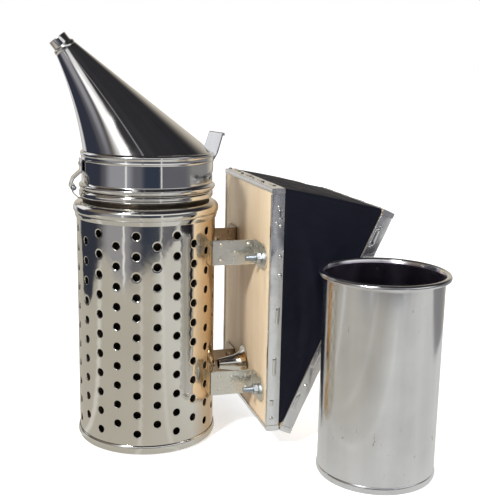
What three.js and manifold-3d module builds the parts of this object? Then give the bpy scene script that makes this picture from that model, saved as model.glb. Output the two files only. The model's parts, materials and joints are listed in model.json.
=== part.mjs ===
// Bee smoker: a perforated heat shield around a fire pot, a hinged lid with a slanted
// spout, hand bellows carried on four straps, and the loose inner can beside it.
//
// Millimetres, +Z up. The origin is the middle of the base's underside. The bellows
// stand towards +X, the spout leans towards -X, and the "near" side is -Y.
import * as THREE from 'three';
import { mergeVertices } from 'three/addons/utils/BufferGeometryUtils.js';
import Module from 'manifold-3d';

const wasm = await Module();
wasm.setup();

// ---- Driving sizes ---------------------------------------------------------------

const GAP = 0.3; // left between two pieces that touch
const SHEET = 0.8; // steel of the pot, lid, cone and base
const THIN_SHEET = 0.6; // steel of the shield, the can and the edge strips

// Fire chamber
const POT_RADIUS = 49.5; // outside of the fire pot
const AIR_GAP = 4.9; // from the pot to the inside of the shield
const SHIELD_HEIGHT = 190; // the shield's top edge
const BASE_PLATE = 1.2;
const BASE_BEAD = 1.4; // how far the base's rim stands out past the shield
const BASE_RIM_HEIGHT = 8;
const SHOULDER_BEAD = 2.6; // how far the shoulder stands out past the shield
const POT_COLLAR = 3.5; // how far the pot's collar stands out
const COLLAR_BASE = 7; // the collar's lower edge, above the shield
const COLLAR_HEIGHT = 6;
const POT_NECK = 11; // the pot's plain neck, above its collar

// Holes in the shield
const HOLE_COLUMNS = 22;
const HOLE_ROWS = 11; // every second column has one hole fewer, half a step up
const HOLE_RADIUS = 3;
const LOWEST_HOLE = 17.8; // its centre's height
const PLAIN_BAND = 16.2; // from the highest hole's centre to the shield's top edge
const FIRST_COLUMN = 6.45; // azimuth of a short column, in degrees

// Grate
const GRATE_HEIGHT = 64;
const GRATE_PLATE = 1.2;
const GRATE_PLAY = 1.5; // around its edge
const GRATE_HOLE = 3.5;
const GRATE_RING_STEP = 14; // from one ring of holes to the next
const GRATE_LEG = 8;

// Air path
const AIR_HEIGHT = 51.5; // of the nozzle's axis
const INLET_BORE = 7;
const INLET_FLANGE = 2.6; // the inlet flange's width
const NOZZLE_TIP_BORE = 3.5;
const NOZZLE_FOOT_BORE = 6;
const NOZZLE_FLARE = 11; // radius where it opens on to the board
const NOZZLE_FLARE_LENGTH = 9;
const NOZZLE_FLANGE = 14; // radius
const NOZZLE_TIP_GAP = 6.3; // from the shield to the nozzle's tip

// Bellows boards
const BRACKET_REACH = 29.2; // from the shield to the front board
const BOARD_WIDTH = 132;
const BOARD_HEIGHT = 192;
const BOARD_THICK = 9.4;
const BOARD_FOOT = 16.9; // the front board's lower edge
const BELLOWS_ANGLE = 24.8; // how far the boards stand open at rest, in degrees
const HINGE_GAP = 1; // from the front board's inner face to the line the back board turns on
const EDGE_LIP = 2.6; // the edge strips' lip on a board's face
const EDGE_FLAP = 3.6; // the end strips' folded corners
const COVER_THICK = 1.2;
const COVER_FOOT = 14; // the cover's lowest fold, up from the hinge line

// Bellows spring
const SPRING_HEIGHT = 138; // along the boards, from the hinge line
const SPRING_RADIUS = 13;
const SPRING_WIRE = 1; // radius
const SPRING_TURNS = 6;

// Intake valve
const VALVE_HEIGHT = 84; // along the back board
const VALVE_RADIUS = 11;
const FLAP_THICK = 1.5;
const FLAP_WIDTH = 30;
const FLAP_LAP = 4; // how far the flap covers the wood around the hole
const FLAP_BAR = 6;

// Straps between the shield and the front board
const STRAP_THICK = 1;
const STRAP_HEIGHT = 20;
const STRAP_LEVELS = { upper: 153.5, lower: 44.5 }; // mid-heights
const STRAP_OFFSET = 28; // a leg's outer face, from the middle plane
const STRAP_EDGE = 9; // from a foot's round end to the board's side
const STRAP_ROOT = 14; // azimuth at which the root flange ends, in degrees
const BOLT_SHIFT = 0.5; // outwards from the middle of a foot
const BOLT_DROP = 1.5; // from a strap's mid-height
const BOLT_RADIUS = 2.5;
const BOLT_HOLE_PLAY = 0.4;
const BOLT_HEAD = 5.5; // radius
const BOLT_HEAD_HEIGHT = 2.4;
const BOLT_END = 8; // bare thread past the nut
const NUT_RADIUS = 4.6; // across its corners, halved
const NUT_HEIGHT = 4;

// Lid
const LID_PLAY = 1.4; // between the pot's neck and the skirt
const LID_SHIFT = 0.9; // the lid sits this far off centre in its play
const SKIRT_HEIGHT = 29.5;
const SKIRT_BEAD = 2.3; // how far the lower bead stands out
const SKIRT_BEAD_HEIGHT = 5.6;
const CROWN_BEAD = 0.7; // how far the upper bead stands out
const CROWN_LEDGE = 3.5; // the ledge that the cone stands on
const SPOUT_TOP = 76; // from the cone's foot to the middle of its top ring
const SPOUT_LEAN = 61.6; // from the axis to the middle of the cone's top ring
const SPOUT_TILT = 38; // of the cone's top ring, in degrees
const SPOUT_HOLLOW = 4.8; // how far the cone's back sinks below a straight line
const SPOUT_COLLAR = 8.8; // radius
const SPOUT_COLLAR_HEIGHT = 3;
const SPOUT_TUBE = 7.15; // radius
const SPOUT_TUBE_LENGTH = 10.4;

// Lid hinge and thumb tab
const PIN_RADIUS = 1.2;
const PIN_PLAY = 0.3;
const KNUCKLE_WALL = 0.8;
const LEAF_WIDTH = 18;
const TAB_AZIMUTH = 14.4;
const TAB_WIDTH = 24;
const TAB_THICK = 1;
const TAB_RISE = 16; // of the tab above its bend
const TAB_LEAN = 5.4; // outward lean over that rise

// Inner can
const CAN_HEIGHT = 155;
const CAN_PLAY = 0.4; // between its rim and the fire pot
const CAN_ROLL = 4.3; // how far the rolled rim stands out
const CAN_FOOT_BEAD = 0.8;
const CAN_FOOT_HEIGHT = 6;
const CAN_FLOOR = 3; // height of its floor
const CAN_HOLE = 2.5;
const CAN_RING_STEP = 13;
const CAN_SPACING = 2; // from the rim to the bellows' edge strips
const CAN_ALONG = 154.3; // its place along X

// Facets around each kind of round piece
const SIDES = { shield: 2 * HOLE_COLUMNS, wall: 36, small: 20, bolt: 12, hole: 6 };

// ---- Sizes that follow ------------------------------------------------------------

const SHIELD_RADIUS = POT_RADIUS + AIR_GAP + THIN_SHEET;
const FLOOR_LEVEL = BASE_PLATE + GAP; // what stands on the base
const COLLAR_LEVEL = SHIELD_HEIGHT + COLLAR_BASE;
const POT_TOP = COLLAR_LEVEL + COLLAR_HEIGHT + POT_NECK;
const LID_LEVEL = COLLAR_LEVEL + COLLAR_HEIGHT + GAP;
const SKIRT_INNER = POT_RADIUS + LID_PLAY;
const SKIRT_RADIUS = SKIRT_INNER + THIN_SHEET;
const CROWN_LEVEL = LID_LEVEL + SKIRT_HEIGHT;
const CONE_LEVEL = CROWN_LEVEL + GAP;

const BOARD_FACE = SHIELD_RADIUS + BRACKET_REACH; // the front board's outer face
const BOARD_INNER = BOARD_FACE + BOARD_THICK;
const HALF_WIDTH = BOARD_WIDTH / 2;
const EDGE_OUT = GAP + THIN_SHEET; // how far an edge strip stands out
const FOLD_X = BOARD_INNER + HINGE_GAP; // the hinge line, along Y
const FOLD_Z = BOARD_FOOT;
const OPEN = THREE.MathUtils.degToRad(BELLOWS_ANGLE);
const FOOT_FACE = BOARD_FACE - GAP - STRAP_THICK; // a strap foot's face
const FOOT_END = HALF_WIDTH - STRAP_EDGE; // of a foot, from the middle plane
const BOLT_OFFSET = (STRAP_OFFSET + FOOT_END) / 2 + BOLT_SHIFT;
const BOLT_HOLE = BOLT_RADIUS + BOLT_HOLE_PLAY;

const CAN_RIM = POT_RADIUS - SHEET - CAN_PLAY;
const CAN_RADIUS = CAN_RIM - CAN_ROLL;
const CAN_ACROSS = -(HALF_WIDTH + EDGE_OUT + CAN_SPACING + CAN_RIM);

const SIDE_SIGNS = { near: -1, far: 1 };

// ---- Finishes ---------------------------------------------------------------------

const FINISHES = {
  polished: { color: 0xd2cdc4, roughness: 0.1, metalness: 1 },
  darkened: { color: 0x6f6a63, roughness: 0.35, metalness: 1 },
  zinc: { color: 0xc6cbd0, roughness: 0.35, metalness: 1 },
  tinplate: { color: 0xd9d9d5, roughness: 0.28, metalness: 1 },
  springSteel: { color: 0x8b8b87, roughness: 0.4, metalness: 1 },
  wood: { color: 0xd8c29c, roughness: 0.65, metalness: 0 },
  leatherette: { color: 0x14151c, roughness: 0.55, metalness: 0 },
  leather: { color: 0x4a3526, roughness: 0.8, metalness: 0 },
};

// ---- Solids -----------------------------------------------------------------------

const X = new THREE.Vector3(1, 0, 0);
const Y = new THREE.Vector3(0, 1, 0);
const Z = new THREE.Vector3(0, 0, 1);
const degrees = THREE.MathUtils.degToRad;
const point = (x, y) => new THREE.Vector2(x, y);

// A manifold solid from a closed geometry: shared corners, no empty faces, facing out.
function solid(geometry) {
  const bare = geometry.clone();
  bare.deleteAttribute('normal');
  bare.deleteAttribute('uv');
  const merged = mergeVertices(bare, 1e-4);
  const corners = merged.index.array;
  const faces = [];
  for (let i = 0; i < corners.length; i += 3) {
    const [a, b, c] = [corners[i], corners[i + 1], corners[i + 2]];
    if (a !== b && b !== c && c !== a) {
      faces.push(a, b, c);
    }
  }
  const build = (triangles) => new wasm.Manifold(new wasm.Mesh({
    numProp: 3,
    vertProperties: new Float32Array(merged.attributes.position.array),
    triVerts: new Uint32Array(triangles),
  }));
  const made = build(faces);
  return made.volume() > 0 ? made : build(faces.reverse());
}

// The geometry of a manifold solid.
function surface(body) {
  const mesh = body.getMesh();
  const geometry = new THREE.BufferGeometry();
  geometry.setAttribute('position', new THREE.BufferAttribute(mesh.vertProperties, 3));
  geometry.setIndex(new THREE.BufferAttribute(mesh.triVerts, 1));
  geometry.computeVertexNormals();
  return geometry;
}

// A round piece about +Z. The profile is [radius, height] pairs; an open profile starts
// and ends on the axis, and a ring's closes on itself. One corner lies at `azimuth`.
function turned(profile, sides, azimuth = 0) {
  const points = profile.map(([radius, height]) => point(radius, height));
  const ring = profile[0][0] > 0;
  if (ring) {
    points.push(points[0].clone());
  }
  const geometry = new THREE.LatheGeometry(points, sides, degrees(azimuth + 90));
  return geometry.rotateX(Math.PI / 2);
}

// The same about +X, at a height and across.
function turnedAlongX(profile, sides, across, height) {
  return turned(profile, sides).rotateY(Math.PI / 2).translate(0, across, height);
}

function rod(radius, from, to, sides, across, height) {
  const profile = [[0, from], [radius, from], [radius, to], [0, to]];
  return turnedAlongX(profile, sides, across, height);
}

function block(x0, x1, y0, y1, z0, z1) {
  const geometry = new THREE.BoxGeometry(x1 - x0, y1 - y0, z1 - z0);
  return geometry.translate((x0 + x1) / 2, (y0 + y1) / 2, (z0 + z1) / 2);
}

function outline(pairs) {
  return new THREE.Shape(pairs.map(([x, y]) => point(x, y)));
}

const flat = (depth, curveSegments = 8) => ({ depth, bevelEnabled: false, curveSegments });

// An outline in the XY plane, made solid from z0 to z1.
function upright(shape, z0, z1) {
  return new THREE.ExtrudeGeometry(shape, flat(z1 - z0)).translate(0, 0, z0);
}

// An outline in the XZ plane, made solid from y0 to y1.
function crosswise(shape, y0, y1) {
  const geometry = new THREE.ExtrudeGeometry(shape, flat(y1 - y0));
  const basis = new THREE.Matrix4().makeBasis(X, Z, Y.clone().negate());
  return geometry.applyMatrix4(basis).translate(0, y1, 0);
}

// An outline in the YZ plane, made solid from x0 to x1.
function lengthwise(shape, x0, x1) {
  const geometry = new THREE.ExtrudeGeometry(shape, flat(x1 - x0));
  const basis = new THREE.Matrix4().makeBasis(Y, Z, X);
  return geometry.applyMatrix4(basis).translate(x0, 0, 0);
}

// The outline of a bent strip of one thickness along [x, z] pairs, to the left of them.
function bentStrip(pairs, thickness) {
  const line = pairs.map(([x, y]) => point(x, y));
  const leftOf = (a, b) => b.clone().sub(a).normalize().rotateAround(point(0, 0), Math.PI / 2);
  const edge = line.map((corner, i) => {
    const before = i > 0 ? leftOf(line[i - 1], corner) : null;
    const after = i < line.length - 1 ? leftOf(corner, line[i + 1]) : null;
    const mitre = before && after ? before.clone().add(after).normalize() : before || after;
    const reach = thickness / mitre.dot(before || after);
    return corner.clone().addScaledVector(mitre, reach);
  });
  return new THREE.Shape([...line, ...edge.reverse()]);
}

function subtractAll(body, cutters) {
  let result = body;
  for (const cutter of cutters) {
    result = result.subtract(cutter);
  }
  return result;
}

function addAll(bodies) {
  return bodies.reduce((sum, body) => sum.add(body));
}

function piece(name, finish, body) {
  const material = new THREE.MeshStandardMaterial(FINISHES[finish]);
  const mesh = new THREE.Mesh(surface(body), material);
  mesh.name = name;
  return mesh;
}

// A round hole's cutter along +Z, from z0 to z1.
function drill(radius, x, y, z0, z1, sides = SIDES.hole) {
  const profile = [[0, z0], [radius, z0], [radius, z1], [0, z1]];
  return solid(turned(profile, sides).translate(x, y, 0));
}

// A perforated disc's cutters: one hole in the middle and rings of 6, 12 and so on.
function ringDrills(radius, step, rings, z0, z1) {
  const drills = [drill(radius, 0, 0, z0, z1)];
  for (let ring = 1; ring <= rings; ring += 1) {
    for (let i = 0; i < 6 * ring; i += 1) {
      const angle = (2 * Math.PI * i) / (6 * ring);
      const reach = ring * step;
      drills.push(drill(radius, reach * Math.cos(angle), reach * Math.sin(angle), z0, z1));
    }
  }
  return drills;
}

// ---- Fire chamber -----------------------------------------------------------------

function heatShield() {
  const inner = SHIELD_RADIUS - THIN_SHEET;
  const columnStep = 360 / HOLE_COLUMNS;
  const corner = FIRST_COLUMN + columnStep / 4; // so that each column has a facet of its own
  const wall = [
    [SHIELD_RADIUS, FLOOR_LEVEL], [SHIELD_RADIUS, SHIELD_HEIGHT],
    [inner, SHIELD_HEIGHT], [inner, FLOOR_LEVEL],
  ];
  const rowStep = (SHIELD_HEIGHT - PLAIN_BAND - LOWEST_HOLE) / (HOLE_ROWS - 1);
  const inletHole = INLET_BORE + THIN_SHEET + GAP;
  const cutters = [solid(rod(inletHole, 0, 2 * SHIELD_RADIUS, SIDES.bolt, 0, AIR_HEIGHT))];
  for (let column = 0; column < HOLE_COLUMNS; column += 1) {
    const short = column % 2 === 0;
    const azimuth = FIRST_COLUMN + column * columnStep;
    const first = LOWEST_HOLE + (short ? rowStep / 2 : 0);
    const across = SHIELD_RADIUS * Math.sin(degrees(azimuth));
    const facesBellows = Math.cos(degrees(azimuth)) > 0;
    for (let row = 0; row < (short ? HOLE_ROWS - 1 : HOLE_ROWS); row += 1) {
      const height = first + row * rowStep;
      const fromInlet = Math.hypot(across, height - AIR_HEIGHT);
      if (facesBellows && fromInlet < INLET_BORE + INLET_FLANGE + HOLE_RADIUS) {
        continue;
      }
      const hole = rod(HOLE_RADIUS, inner - 2, SHIELD_RADIUS + 2, SIDES.hole, 0, height);
      cutters.push(solid(hole.rotateZ(degrees(azimuth))));
    }
  }
  return subtractAll(solid(turned(wall, SIDES.shield, corner)), cutters);
}

function basePan() {
  const groove = SHIELD_RADIUS + GAP;
  const rim = SHIELD_RADIUS + BASE_BEAD;
  const rise = BASE_RIM_HEIGHT;
  return solid(turned([
    [0, 0], [groove - 1.5, 0], [rim - 0.3, 0.2 * rise], [rim, 0.42 * rise],
    [rim - 0.3, 0.7 * rise], [groove + 0.3, rise], [groove, rise],
    [groove, BASE_PLATE], [0, BASE_PLATE],
  ], SIDES.wall));
}

// The rolled shoulder that closes the gap between the shield and the pot.
function shoulderRing() {
  const foot = SHIELD_RADIUS + GAP;
  const wide = SHIELD_RADIUS + SHOULDER_BEAD;
  const lip = POT_RADIUS + 2 * GAP;
  const top = SHIELD_HEIGHT + 4.4;
  return solid(turned([
    [foot, SHIELD_HEIGHT - 8.6], [foot + 1.1, SHIELD_HEIGHT - 7.6],
    [wide - 0.2, SHIELD_HEIGHT - 4.6], [wide, SHIELD_HEIGHT - 1.6],
    [wide - 1, SHIELD_HEIGHT + 1.6], [wide - 3.3, top - 0.8], [lip + 1.4, top], [lip, top - 0.4],
    [lip, top - 0.4 - SHEET], [wide - 3.7, SHIELD_HEIGHT + 2], [foot, SHIELD_HEIGHT + GAP],
  ], SIDES.shield));
}

function firePot() {
  const inner = POT_RADIUS - SHEET;
  const collar = POT_RADIUS + POT_COLLAR;
  const wall = [
    [0, FLOOR_LEVEL], [POT_RADIUS, FLOOR_LEVEL], [POT_RADIUS, COLLAR_LEVEL],
    [collar - 1, COLLAR_LEVEL + 0.3], [collar, COLLAR_LEVEL + 0.3 * COLLAR_HEIGHT],
    [collar, COLLAR_LEVEL + 0.7 * COLLAR_HEIGHT], [collar - 1.2, COLLAR_LEVEL + COLLAR_HEIGHT],
    [POT_RADIUS, COLLAR_LEVEL + COLLAR_HEIGHT], [POT_RADIUS, POT_TOP], [inner, POT_TOP],
    [inner, FLOOR_LEVEL + SHEET], [0, FLOOR_LEVEL + SHEET],
  ];
  const inlet = rod(INLET_BORE, inner / 2, 2 * POT_RADIUS, SIDES.bolt, 0, AIR_HEIGHT);
  return solid(turned(wall, SIDES.wall)).subtract(solid(inlet));
}

function fireGrate() {
  const radius = POT_RADIUS - SHEET - GRATE_PLAY;
  const top = GRATE_HEIGHT + GRATE_PLATE;
  const rings = Math.floor((radius - 2 * GRATE_HOLE) / GRATE_RING_STEP);
  const plate = [[0, GRATE_HEIGHT], [radius, GRATE_HEIGHT], [radius, top], [0, top]];
  const foot = FLOOR_LEVEL + SHEET + GAP;
  const legs = [60, 180, 300].map((azimuth) => {
    const leg = block(
      radius - 3, radius - 3 + GRATE_PLATE, -GRATE_LEG / 2, GRATE_LEG / 2, foot, GRATE_HEIGHT + 0.5,
    );
    return solid(leg.rotateZ(degrees(azimuth)));
  });
  const drills = ringDrills(GRATE_HOLE, GRATE_RING_STEP, rings, GRATE_HEIGHT - 1, top + 1);
  return addAll([subtractAll(solid(turned(plate, SIDES.small)), drills), ...legs]);
}

// The flanged sleeve that carries the air through the shield to the pot.
function airInlet() {
  const sleeve = INLET_BORE + THIN_SHEET;
  const flange = INLET_BORE + INLET_FLANGE;
  const face = SHIELD_RADIUS + GAP;
  const start = POT_RADIUS + GAP;
  return solid(turnedAlongX([
    [INLET_BORE, start], [sleeve, start], [sleeve, face], [flange, face],
    [flange, face + THIN_SHEET], [INLET_BORE, face + THIN_SHEET],
  ], SIDES.bolt, 0, AIR_HEIGHT));
}

// ---- Straps, bolts and nuts -------------------------------------------------------

// A bent strap: a root flange round the shield, a leg, and a foot with a round end.
function strap(side, level) {
  const inside = SHIELD_RADIUS + GAP;
  const outside = inside + STRAP_THICK;
  const end = FOOT_END;
  const inner = STRAP_OFFSET - STRAP_THICK;
  const heel = Math.asin(STRAP_OFFSET / inside);
  const neck = Math.asin(inner / outside);
  const arcSteps = 4;
  const shape = [
    [BOARD_FACE - GAP, inner], [BOARD_FACE - GAP, end], [FOOT_FACE, end], [FOOT_FACE, STRAP_OFFSET],
  ];
  for (let i = 0; i <= arcSteps; i += 1) {
    const angle = THREE.MathUtils.lerp(heel, degrees(STRAP_ROOT), i / arcSteps);
    shape.push([inside * Math.cos(angle), inside * Math.sin(angle)]);
  }
  for (let i = 0; i <= arcSteps; i += 1) {
    const angle = THREE.MathUtils.lerp(degrees(STRAP_ROOT), neck, i / arcSteps);
    shape.push([outside * Math.cos(angle), outside * Math.sin(angle)]);
  }
  const half = STRAP_HEIGHT / 2;
  const turnedOut = outline(shape.map(([x, y]) => [x, side * y]));
  const bent = solid(upright(turnedOut, level - half, level + half));
  const centre = end - half;
  const ear = [[0, level - half - 1]];
  for (let i = 0; i <= 8; i += 1) {
    const angle = Math.PI * (i / 8 - 0.5);
    ear.push([side * (centre + half * Math.cos(angle)), level + half * Math.sin(angle)]);
  }
  ear.push([0, level + half + 1]);
  const rounded = solid(lengthwise(outline(ear), 0, BOARD_INNER));
  const hole = rod(BOLT_HOLE, FOOT_FACE - 2, BOARD_FACE, SIDES.bolt, side * BOLT_OFFSET, level - BOLT_DROP);
  return bent.intersect(rounded).subtract(solid(hole));
}

// A round-headed bolt from inside the bellows, through the board and the strap's foot.
function bolt(side, level) {
  const head = BOARD_INNER + GAP;
  const tip = FOOT_FACE - GAP - NUT_HEIGHT - BOLT_END;
  return solid(turnedAlongX([
    [0, tip], [BOLT_RADIUS - 0.4, tip], [BOLT_RADIUS, tip + 0.6], [BOLT_RADIUS, head],
    [BOLT_HEAD, head], [BOLT_HEAD - 0.4, head + 0.4 * BOLT_HEAD_HEIGHT],
    [0.5 * BOLT_HEAD, head + BOLT_HEAD_HEIGHT], [0, head + BOLT_HEAD_HEIGHT],
  ], SIDES.bolt, side * BOLT_OFFSET, level - BOLT_DROP));
}

function nut(side, level) {
  const back = FOOT_FACE - GAP;
  const place = [side * BOLT_OFFSET, level - BOLT_DROP];
  const hexagon = rod(NUT_RADIUS, back - NUT_HEIGHT, back, 6, ...place);
  const bore = rod(BOLT_RADIUS + GAP, back - NUT_HEIGHT - 1, back + 1, SIDES.bolt, ...place);
  return solid(hexagon).subtract(solid(bore));
}

// ---- Bellows ----------------------------------------------------------------------

// Both boards are made with their inner face at x = 0 and their foot at z = 0; `out` is
// the side of that face which the wood is on.
function board(out) {
  const ends = [0, out * BOARD_THICK].sort((a, b) => a - b);
  return solid(block(...ends, -HALF_WIDTH, HALF_WIDTH, 0, BOARD_HEIGHT));
}

function frontBoard() {
  const cutters = [solid(rod(NOZZLE_FOOT_BORE + GAP, -2 * BOARD_THICK, BOARD_THICK, SIDES.small, 0,
    AIR_HEIGHT - BOARD_FOOT))];
  for (const side of Object.values(SIDE_SIGNS)) {
    for (const level of Object.values(STRAP_LEVELS)) {
      const height = level - BOLT_DROP - BOARD_FOOT;
      cutters.push(solid(rod(BOLT_HOLE, -2 * BOARD_THICK, BOARD_THICK, SIDES.bolt,
        side * BOLT_OFFSET, height)));
    }
  }
  return subtractAll(board(-1), cutters);
}

function backBoard() {
  const intake = rod(VALVE_RADIUS, -BOARD_THICK, 2 * BOARD_THICK, SIDES.small, 0, VALVE_HEIGHT);
  return board(1).subtract(solid(intake));
}

// The corners of an edge strip's section: [through the board, out past its edge].
const STRIP_SECTION = [
  [0, GAP], [BOARD_THICK + GAP, GAP], [BOARD_THICK + GAP, -EDGE_LIP],
  [BOARD_THICK + EDGE_OUT, -EDGE_LIP], [BOARD_THICK + EDGE_OUT, EDGE_OUT], [0, EDGE_OUT],
];

function sideStrip(out, side) {
  const section = STRIP_SECTION.map(([through, past]) => [out * through, side * (HALF_WIDTH + past)]);
  return solid(upright(outline(section), EDGE_FLAP + GAP, BOARD_HEIGHT - EDGE_FLAP - GAP));
}

// The strip along a board's top (end = 1) or foot (end = -1), folded over its corners.
function endStrip(out, end) {
  const edge = end > 0 ? BOARD_HEIGHT : 0;
  const reach = HALF_WIDTH + EDGE_OUT;
  const section = STRIP_SECTION.map(([through, past]) => [out * through, edge + end * past]);
  const bodies = [solid(crosswise(outline(section), -reach, reach))];
  const through = [0, out * (BOARD_THICK + EDGE_OUT)].sort((a, b) => a - b);
  const heights = [edge - end * EDGE_FLAP, edge + end * EDGE_OUT].sort((a, b) => a - b);
  for (const side of Object.values(SIDE_SIGNS)) {
    const across = [side * (HALF_WIDTH + GAP), side * reach].sort((a, b) => a - b);
    bodies.push(solid(block(...through, ...across, ...heights)));
  }
  return addAll(bodies);
}

// A point of the back board's own frame, in the smoker's: [x, z].
function onBackBoard(x, z) {
  return [
    FOLD_X + x * Math.cos(OPEN) + z * Math.sin(OPEN),
    FOLD_Z - x * Math.sin(OPEN) + z * Math.cos(OPEN),
  ];
}

// The leatherette cover: a wedge-shaped sleeve between the two boards' inner faces.
function bellowsCover() {
  const front = BOARD_INNER + GAP;
  const top = BOARD_HEIGHT - GAP;
  const wedge = (frontX, backX, foot, head) => outline([
    [frontX, FOLD_Z + foot], [frontX, FOLD_Z + head],
    onBackBoard(backX, head), onBackBoard(backX, foot),
  ]);
  const outer = crosswise(wedge(front, -GAP, COVER_FOOT, top), -HALF_WIDTH, HALF_WIDTH);
  const half = HALF_WIDTH - COVER_THICK;
  const inner = wedge(front - 1, 1, COVER_FOOT + COVER_THICK, top - COVER_THICK);
  return solid(outer).subtract(solid(crosswise(inner, -half, half)));
}

function bellowsSpring() {
  const [backX, backZ] = onBackBoard(0, SPRING_HEIGHT);
  const start = new THREE.Vector3(BOARD_INNER, 0, FOLD_Z + SPRING_HEIGHT);
  const along = new THREE.Vector3(backX, 0, backZ).sub(start);
  const span = along.length();
  along.normalize();
  const lift = along.clone().cross(Y);
  const slant = (SPRING_RADIUS + SPRING_WIRE) * Math.tan(OPEN / 2);
  const clear = slant + SPRING_WIRE + GAP;
  class Coil extends THREE.Curve {
    getPoint(t, target = new THREE.Vector3()) {
      const angle = 2 * Math.PI * SPRING_TURNS * t;
      return target.copy(start)
        .addScaledVector(along, clear + t * (span - 2 * clear))
        .addScaledVector(Y, SPRING_RADIUS * Math.cos(angle))
        .addScaledVector(lift, SPRING_RADIUS * Math.sin(angle));
    }
  }
  const wire = [];
  for (let i = 0; i < 5; i += 1) {
    const angle = (2 * Math.PI * i) / 5;
    wire.push([SPRING_WIRE * Math.cos(angle), SPRING_WIRE * Math.sin(angle)]);
  }
  const steps = 11 * SPRING_TURNS;
  return solid(new THREE.ExtrudeGeometry(outline(wire), {
    steps, extrudePath: new Coil(), bevelEnabled: false,
  }));
}

function airNozzle() {
  const foot = BOARD_FACE - GAP;
  const tip = SHIELD_RADIUS + NOZZLE_TIP_GAP;
  const neck = foot - NOZZLE_FLARE_LENGTH;
  return solid(turnedAlongX([
    [NOZZLE_FLARE, foot], [NOZZLE_FLANGE, foot], [NOZZLE_FLANGE, foot - THIN_SHEET],
    [NOZZLE_FLARE + THIN_SHEET, foot - THIN_SHEET], [NOZZLE_FOOT_BORE + THIN_SHEET, neck],
    [NOZZLE_TIP_BORE + THIN_SHEET, tip], [NOZZLE_TIP_BORE, tip], [NOZZLE_FOOT_BORE, neck],
  ], SIDES.small, 0, AIR_HEIGHT));
}

// The flap hangs from its top edge over the intake hole, on the back board's inner face.
const FLAP_DROP = 2 * VALVE_RADIUS + 2 * FLAP_LAP;
const FLAP_TOP = VALVE_HEIGHT + VALVE_RADIUS + FLAP_LAP;

function intakeFlap() {
  const half = FLAP_WIDTH / 2;
  return solid(block(-GAP - FLAP_THICK, -GAP, -half, half, FLAP_TOP - FLAP_DROP, FLAP_TOP));
}

function flapBar() {
  const half = FLAP_WIDTH / 2;
  const foot = FLAP_TOP + 2 * GAP;
  return solid(block(-GAP - FLAP_THICK - THIN_SHEET, -GAP, -half, half, foot, foot + FLAP_BAR));
}

// ---- Lid --------------------------------------------------------------------------

function lidCap() {
  const bead = SKIRT_RADIUS + SKIRT_BEAD;
  const beadTop = LID_LEVEL + SKIRT_BEAD_HEIGHT;
  const crown = SKIRT_RADIUS + CROWN_BEAD;
  const ledge = SKIRT_INNER - CROWN_LEDGE;
  return solid(turned([
    [SKIRT_INNER, LID_LEVEL], [bead - 0.9, LID_LEVEL + 0.2],
    [bead, LID_LEVEL + 0.35 * SKIRT_BEAD_HEIGHT], [bead, LID_LEVEL + 0.6 * SKIRT_BEAD_HEIGHT],
    [SKIRT_RADIUS + 0.3, beadTop], [SKIRT_RADIUS, CROWN_LEVEL - 4.4],
    [crown, CROWN_LEVEL - 3], [crown, CROWN_LEVEL - 1.2], [SKIRT_INNER - 0.6, CROWN_LEVEL],
    [ledge, CROWN_LEVEL], [ledge, CROWN_LEVEL - SHEET], [SKIRT_INNER, CROWN_LEVEL - 2 * SHEET],
  ], SIDES.wall));
}

// The slanted cone. Its rings turn and shrink from the flat foot ring to the tilted top
// ring; the front runs straight, and the back sags inwards along a curve.
const CONE_FOOT = SKIRT_INNER - 2 * GAP;
const CONE_TOP = { x: -SPOUT_LEAN, z: CONE_LEVEL + SPOUT_TOP };

function coneRing(t) {
  const tilt = degrees(SPOUT_TILT);
  const reach = point(SPOUT_COLLAR * Math.cos(tilt), SPOUT_COLLAR * Math.sin(tilt));
  const top = point(CONE_TOP.x, CONE_TOP.z);
  const front = point(CONE_FOOT, CONE_LEVEL).lerp(top.clone().add(reach), t);
  const backFoot = point(-CONE_FOOT, CONE_LEVEL);
  const backTop = top.clone().sub(reach);
  const bend = backFoot.clone().lerp(backTop, 0.5).add(point(SPOUT_HOLLOW, 0));
  const back = backFoot.clone().multiplyScalar((1 - t) * (1 - t))
    .addScaledVector(bend, 2 * t * (1 - t)).addScaledVector(backTop, t * t);
  const across = front.clone().sub(back);
  return { centre: front.clone().lerp(back, 0.5), radius: across.length() / 2, across: across.normalize() };
}

function spoutCone() {
  const rings = 6;
  const profile = [];
  for (let i = 0; i <= rings; i += 1) {
    profile.push([2, i / rings]);
  }
  for (let i = rings; i >= 0; i -= 1) {
    profile.push([1, i / rings]);
  }
  const geometry = turned(profile, SIDES.wall);
  const corners = geometry.attributes.position;
  for (let i = 0; i < corners.count; i += 1) {
    const [x, y, t] = [corners.getX(i), corners.getY(i), corners.getZ(i)];
    const reach = Math.hypot(x, y);
    const ring = coneRing(t);
    const radius = reach > 1.5 ? ring.radius : ring.radius - SHEET;
    const out = (radius * x) / reach;
    corners.setXYZ(i, ring.centre.x + out * ring.across.x, (radius * y) / reach,
      ring.centre.y + out * ring.across.y);
  }
  return solid(geometry);
}

// The collar and the short tube at the cone's top, made upright and then laid over.
function spoutTube() {
  const bore = SPOUT_TUBE - SHEET;
  const shoulder = GAP + SPOUT_COLLAR_HEIGHT;
  const tube = turned([
    [bore, GAP], [SPOUT_COLLAR, GAP], [SPOUT_COLLAR, shoulder - 0.6], [SPOUT_TUBE + 0.3, shoulder],
    [SPOUT_TUBE, SPOUT_TUBE_LENGTH], [bore, SPOUT_TUBE_LENGTH],
  ], SIDES.small);
  return solid(tube.rotateY(-degrees(SPOUT_TILT)).translate(CONE_TOP.x, 0, CONE_TOP.z));
}

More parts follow.
